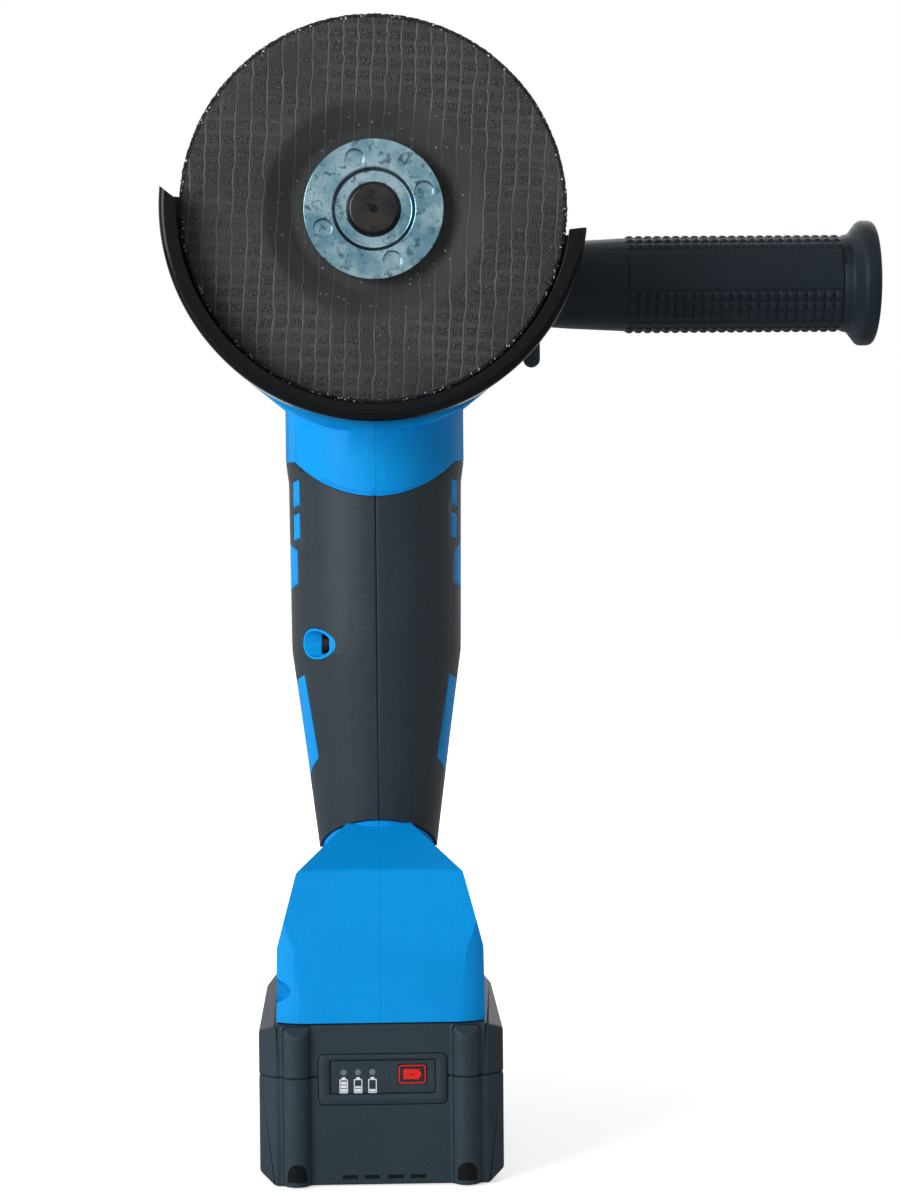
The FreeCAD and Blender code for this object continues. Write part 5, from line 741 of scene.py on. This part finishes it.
def addGrip():
    # radius less the waffle's valleys: in each cell a pyramid, tallest in its middle, and level on the panel
    h = handle
    path = gripPath()
    count = h["rows"] * h["perCell"]
    turn = np.arange(count) * 360 / count
    along = path[:, 0][:, None]
    column = (along - h["grip"]) / h["pitch"]
    row = (turn / 360 * h["rows"])[None, :]
    cell = np.minimum(1 - 2 * np.abs(column % 1 - 0.5), 1 - 2 * np.abs(row % 1 - 0.5))
    depth = h["valley"] * (1 - np.clip(cell * h["steep"], 0, 1))
    low, high = h["panelRows"]
    edge = np.minimum(np.minimum(row - low, high - row), np.minimum(column, h["columns"] - column))
    depth = np.where(edge > h["panelEdge"], h["panelDip"], depth)
    onWaffle = (column >= -h["slack"]) & (column <= h["columns"] + h["slack"])
    depth = np.where(onWaffle, depth, 0)
    degrees = (turn + h["firstRow"])[None, :]
    inNotch = (along > h["notch"][0]) & (along < h["notch"][1]) & (degrees > h["notchTurn"][0])
    depth = np.where(inNotch & (degrees < h["notchTurn"][1]), h["notchDip"], depth)
    radius = path[:, 1][:, None] - depth
    angle = np.radians(degrees)
    across, up = -radius * np.cos(angle), h["height"] + radius * np.sin(angle)
    points = np.stack([along + 0 * angle, across, up], axis=-1)
    faces = gridFaces(len(path), count, True) + endCaps(len(path), count)[1:]
    piece = addPiece("handleGrip", [(points, faces)], "side_handle", handleRubber, 30)
    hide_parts("handle_grip")


addGrip()
print("stage: wheel, guard and handle")


def rectangle(left, right, low, high, radius=0.0):
    # a counter-clockwise outline of (x, z), with its corners rounded where a radius is given
    corners = [(left, low), (right, low), (right, high), (left, high)]
    return roundedPath(corners, radius, 4, True) if radius else np.array(corners, float)


def insetLoop(loop, width):
    # each point of a counter-clockwise outline moved inward along the mean of its two edges' normals
    def unit(runs):
        return runs / np.maximum(np.hypot(runs[:, 0], runs[:, 1]), 1e-9)[:, None]

    mean = unit(loop - np.roll(loop, 1, axis=0)) + unit(np.roll(loop, -1, axis=0) - loop)
    inward = np.stack([-mean[:, 1], mean[:, 0]], axis=-1)
    length = np.hypot(mean[:, 0], mean[:, 1])[:, None]
    return loop + unit(inward) * width / np.clip(length / 2, 0.5, 1)


def atDepth(loop, depth):
    # points of an outline (x, z) placed at y = depth
    return np.stack([loop[:, 0], np.full(len(loop), depth), loop[:, 1]], axis=-1)


def rimPatch(loop, width, back, front):
    # a band along a closed outline: outside back, outside front, inside front, inside back
    inner = insetLoop(loop, width)
    rows = np.stack([atDepth(loop, back), atDepth(loop, front), atDepth(inner, front), atDepth(inner, back)])
    return rows, gridFaces(4, len(loop), True, True)


def platePatch(loop, back, front):
    # a flat plate with this outline
    rows = np.stack([atDepth(loop, back), atDepth(loop, front)])
    return rows, gridFaces(2, len(loop), True) + endCaps(2, len(loop))


# the battery's front: a raised bezel, fine dark lines round the gauge that are painted shadow in its grooves,
# and dark slots along the bottom painted as shade in them; the case's face is 0.1 mm before the panel's, a
# piece stands out of them by its stand and reaches in by its sink
panelLow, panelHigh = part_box("gauge_panel")
gauge = {"face": panelLow[1], "caseFace": panelLow[1] - 0.0001,
         "bezel": 0.0034, "below": 0.0031, "above": 0.0017, "outerRound": 0.0019, "innerRound": 0.0006,
         "stand": 0.0003, "sink": 0.0006, "soft": 0.0003, "step": 0.0002,
         "line": 0.00032, "lineStand": 0.00004, "lineSink": 0.0005, "innerStand": 0.00003, "innerSink": 0.0004,
         "slots": (-0.0122, -0.0054, 0.0018, 0.0086), "slotWidth": 0.0047, "slotLow": 0.0019,
         "slotHigh": 0.0031, "slotRound": 0.0002, "slotStand": 0.00005}


def addBezel():
    # six outlines joined in a ring: outer wall, its soft edge, the flat front, the inner soft edge and wall
    g = gauge
    inner = rectangle(panelLow[0], panelHigh[0], panelLow[2], panelHigh[2], g["innerRound"])
    outer = rectangle(panelLow[0] - g["bezel"], panelHigh[0] + g["bezel"], panelLow[2] - g["below"],
                      panelHigh[2] + g["above"], g["outerRound"])
    case, face = g["caseFace"], g["face"]
    back, front = case + g["sink"], case - g["stand"]
    rows = np.stack([atDepth(outer, back), atDepth(outer, front + g["step"]),
                     atDepth(insetLoop(outer, g["soft"]), front),
                     atDepth(insetLoop(inner, -g["soft"]), front),
                     atDepth(inner, front + g["soft"]), atDepth(inner, back)])
    addPiece("gaugeBezel", [(rows, gridFaces(6, len(outer), True, True))], "battery",
             materials["black_plastic"], 50)
    # the lines are dark strips for the shadow in the grooves, and the slots dark plates for the shade in them:
    # painted shadow and shade
    line = rimPatch(insetLoop(outer, -g["line"]), g["line"], case + g["lineSink"], case - g["lineStand"])
    innerLine = rimPatch(inner, g["line"], face + g["innerSink"], face - g["innerStand"])
    slots = [platePatch(rectangle(left, left + g["slotWidth"], g["slotLow"], g["slotHigh"], g["slotRound"]),
                        case + g["lineSink"], case - g["slotStand"]) for left in g["slots"]]
    addPiece("gaugeLines", [line, innerLine] + slots, "battery", grooveDark)


# three battery signs under the lights, filled to their levels by bars
sign = {"middles": (-0.0116, -0.0072, -0.0028), "levels": (1.0, 0.55, 0.28), "half": 0.0013, "low": 0.0284,
        "high": 0.0327, "round": 0.0003, "line": 0.00028, "nubHalf": 0.0006, "nubHeight": 0.0006, "bars": 3,
        "barSide": 0.0004, "barEnd": 0.00045, "barGap": 0.00025, "leastBar": 0.1, "stand": 0.00006,
        "sink": 0.0003}


def addLevelSigns():
    # a band and a nub for each sign, and bars a step apart from its foot, the last one cut at the level
    s = sign
    back, front = gauge["face"] + s["sink"], gauge["face"] - s["stand"]
    step = (s["high"] - s["low"] - 2 * s["barEnd"]) / s["bars"]
    patches = []
    for middle, level in zip(s["middles"], s["levels"]):
        left, right = middle - s["half"], middle + s["half"]
        nub = rectangle(middle - s["nubHalf"], middle + s["nubHalf"], s["high"], s["high"] + s["nubHeight"])
        body = rectangle(left, right, s["low"], s["high"], s["round"])
        patches.append(rimPatch(body, s["line"], back, front))
        patches.append(platePatch(nub, back, front))
        for bar in range(s["bars"]):
            share = min(max(level * s["bars"] - bar, 0), 1)
            if share > s["leastBar"]:
                bottom = s["low"] + s["barEnd"] + bar * step
                filled = rectangle(left + s["barSide"], right - s["barSide"], bottom,
                                   bottom + (step - s["barGap"]) * share)
                patches.append(platePatch(filled, back, front))
    addPiece("levelSigns", patches, "battery", signWhite)


# the check button's sign: a ring, and a battery on its side with a bolt across it
buttonLow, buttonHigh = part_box("check_button")
button = {"inset": 0.00005, "round": 0.0009, "ring": 0.00035, "left": 0.0027, "right": 0.0022,
          "half": 0.00155, "bodyRound": 0.0003, "nubEnd": 0.0027, "nubHalf": 0.0008, "nubRound": 0.0002,
          "stand": 0.00005, "sink": 0.0003, "boltShift": 0.0002, "boltStand": 0.0001, "boltSink": 0.0002,
          "bolt": ((0.0001, -0.00035), (-0.0001, 0.0), (0.0012, -0.0007),
                   (-0.00005, 0.0003), (0.0002, -0.0001), (-0.0013, 0.0006))}


def addButtonSign():
    # a band just inside the button's outline, and plates for the body, the nub and the bolt about its middle
    b = button
    inset, face = b["inset"], buttonLow[1]
    back, front = face + b["sink"], face - b["stand"]
    outline = rectangle(buttonLow[0] + inset, buttonHigh[0] - inset,
                        buttonLow[2] + inset, buttonHigh[2] - inset, b["round"])
    middle, height = (buttonLow[0] + buttonHigh[0]) / 2, (buttonLow[2] + buttonHigh[2]) / 2
    body = rectangle(middle - b["left"], middle + b["right"],
                     height - b["half"], height + b["half"], b["bodyRound"])
    nub = rectangle(middle + b["right"], middle + b["nubEnd"], height - b["nubHalf"], height + b["nubHalf"],
                    b["nubRound"])
    patches = [rimPatch(outline, b["ring"], back, front)]
    patches += [platePatch(loop, back, front) for loop in (body, nub)]
    addPiece("buttonSign", patches, "check_button", signRed)
    bolt = np.array(b["bolt"]) + np.array([middle - b["boltShift"], height])
    addPiece("buttonBolt", [platePatch(bolt, face + b["boltSink"], face - b["boltStand"])], "check_button",
             grooveDark)


# dark arched plates at the foot of the two front columns: painted shade of their wells
well = {"middles": (-0.026, 0.026), "columnMiddle": -0.0384, "columnRadius": 0.0047, "half": 0.003,
        "spring": 0.0042, "foot": 0.0016, "stand": 0.00004, "sink": 0.0006, "across": 17, "upward": 6}


def addColumnWells():
    # z runs from the foot up to a half circle, and y lies on the column's round front
    w = well
    patches = []
    for middle in w["middles"]:
        off = np.linspace(-1, 1, w["across"]) * w["half"]
        top = w["spring"] + np.sqrt(np.maximum(w["half"] ** 2 - off ** 2, 0))
        share = np.linspace(0, 1, w["upward"])[None, :]
        height = w["foot"] + (top - w["foot"])[:, None] * share
        face = w["columnMiddle"] - np.sqrt(w["columnRadius"] ** 2 - off ** 2)[:, None] + 0 * height
        across = middle + off[:, None] + 0 * height
        front = np.stack([across, face - w["stand"], height], axis=-1)
        back = np.stack([across, face + w["sink"], height], axis=-1)[:, ::-1]
        tube = np.concatenate([front, back], axis=1)
        rows, columns = tube.shape[:2]
        patches.append((tube, gridFaces(rows, columns, True) + endCaps(rows, columns)))
    addPiece("columnWells", patches, "battery", grooveDark)


# the lathe's centre mark on the spindle's end: a dark disc with a low rim, its dark the painted shade of the
# centre's hollow, as (radius, height on the end)
centre = {"section": ((0.00001, 0.00002), (0.0009, 0.00004), (0.0011, 0.00006), (0.0013, 0.00004),
                      (0.00135, -0.0002)), "steps": 40}


def addSpindleCentre():
    # the section swung all the way round the spindle's axis
    front = -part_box("spindle")[0][1]
    section = np.array(centre["section"]) + (0, front)
    angles = np.linspace(0, 2 * math.pi, centre["steps"], endpoint=False)
    points = turnedPoints(section, angles, spindleHeight)
    addPiece("spindleCentre", [(points, gridFaces(len(angles), len(section), False, True))], "spindle",
             grooveDark, 60)


addBezel()
addLevelSigns()
addButtonSign()
addColumnWells()
addSpindleCentre()

# the collar over the skin: a fine raised line that follows the skin's top edge
collar = {"arcRadius": 0.0346, "arcBottom": 0.211, "lift": 0.0009, "wire": 0.00032, "half": 0.0235,
          "steps": 90, "radius": 0.0273, "sides": 10}


def addCollarLine():
    # a thin round wire: x = t, z on the skin's arc raised by lift, y on the barrel's round, front and back
    c = collar
    across = np.linspace(-c["half"], c["half"], c["steps"])
    reach = c["arcRadius"] - c["lift"]
    height = c["arcBottom"] + c["arcRadius"] - np.sqrt(reach ** 2 - across ** 2)
    turn = np.linspace(0, 2 * math.pi, c["sides"], endpoint=False)[None, :, None]
    patches = []
    for side in (-1, 1):
        depth = side * np.sqrt(np.maximum(c["radius"] ** 2 - across ** 2, 0))
        spine = np.stack([across, depth, height], axis=-1)
        along = np.gradient(spine, axis=0)
        along /= np.linalg.norm(along, axis=1)[:, None]
        outward = np.stack([across, depth, 0 * across], axis=-1) / c["radius"]
        other = np.cross(along, outward)
        around = np.cos(turn) * outward[:, None] + np.sin(turn) * other[:, None]
        points = spine[:, None] + c["wire"] * around
        faces = gridFaces(c["steps"], c["sides"], True) + endCaps(c["steps"], c["sides"])
        patches.append((points, faces))
    addPiece("collarLine", patches, "housing", materials["blue_plastic"], 80)


addCollarLine()
print("stage: battery front and collar")
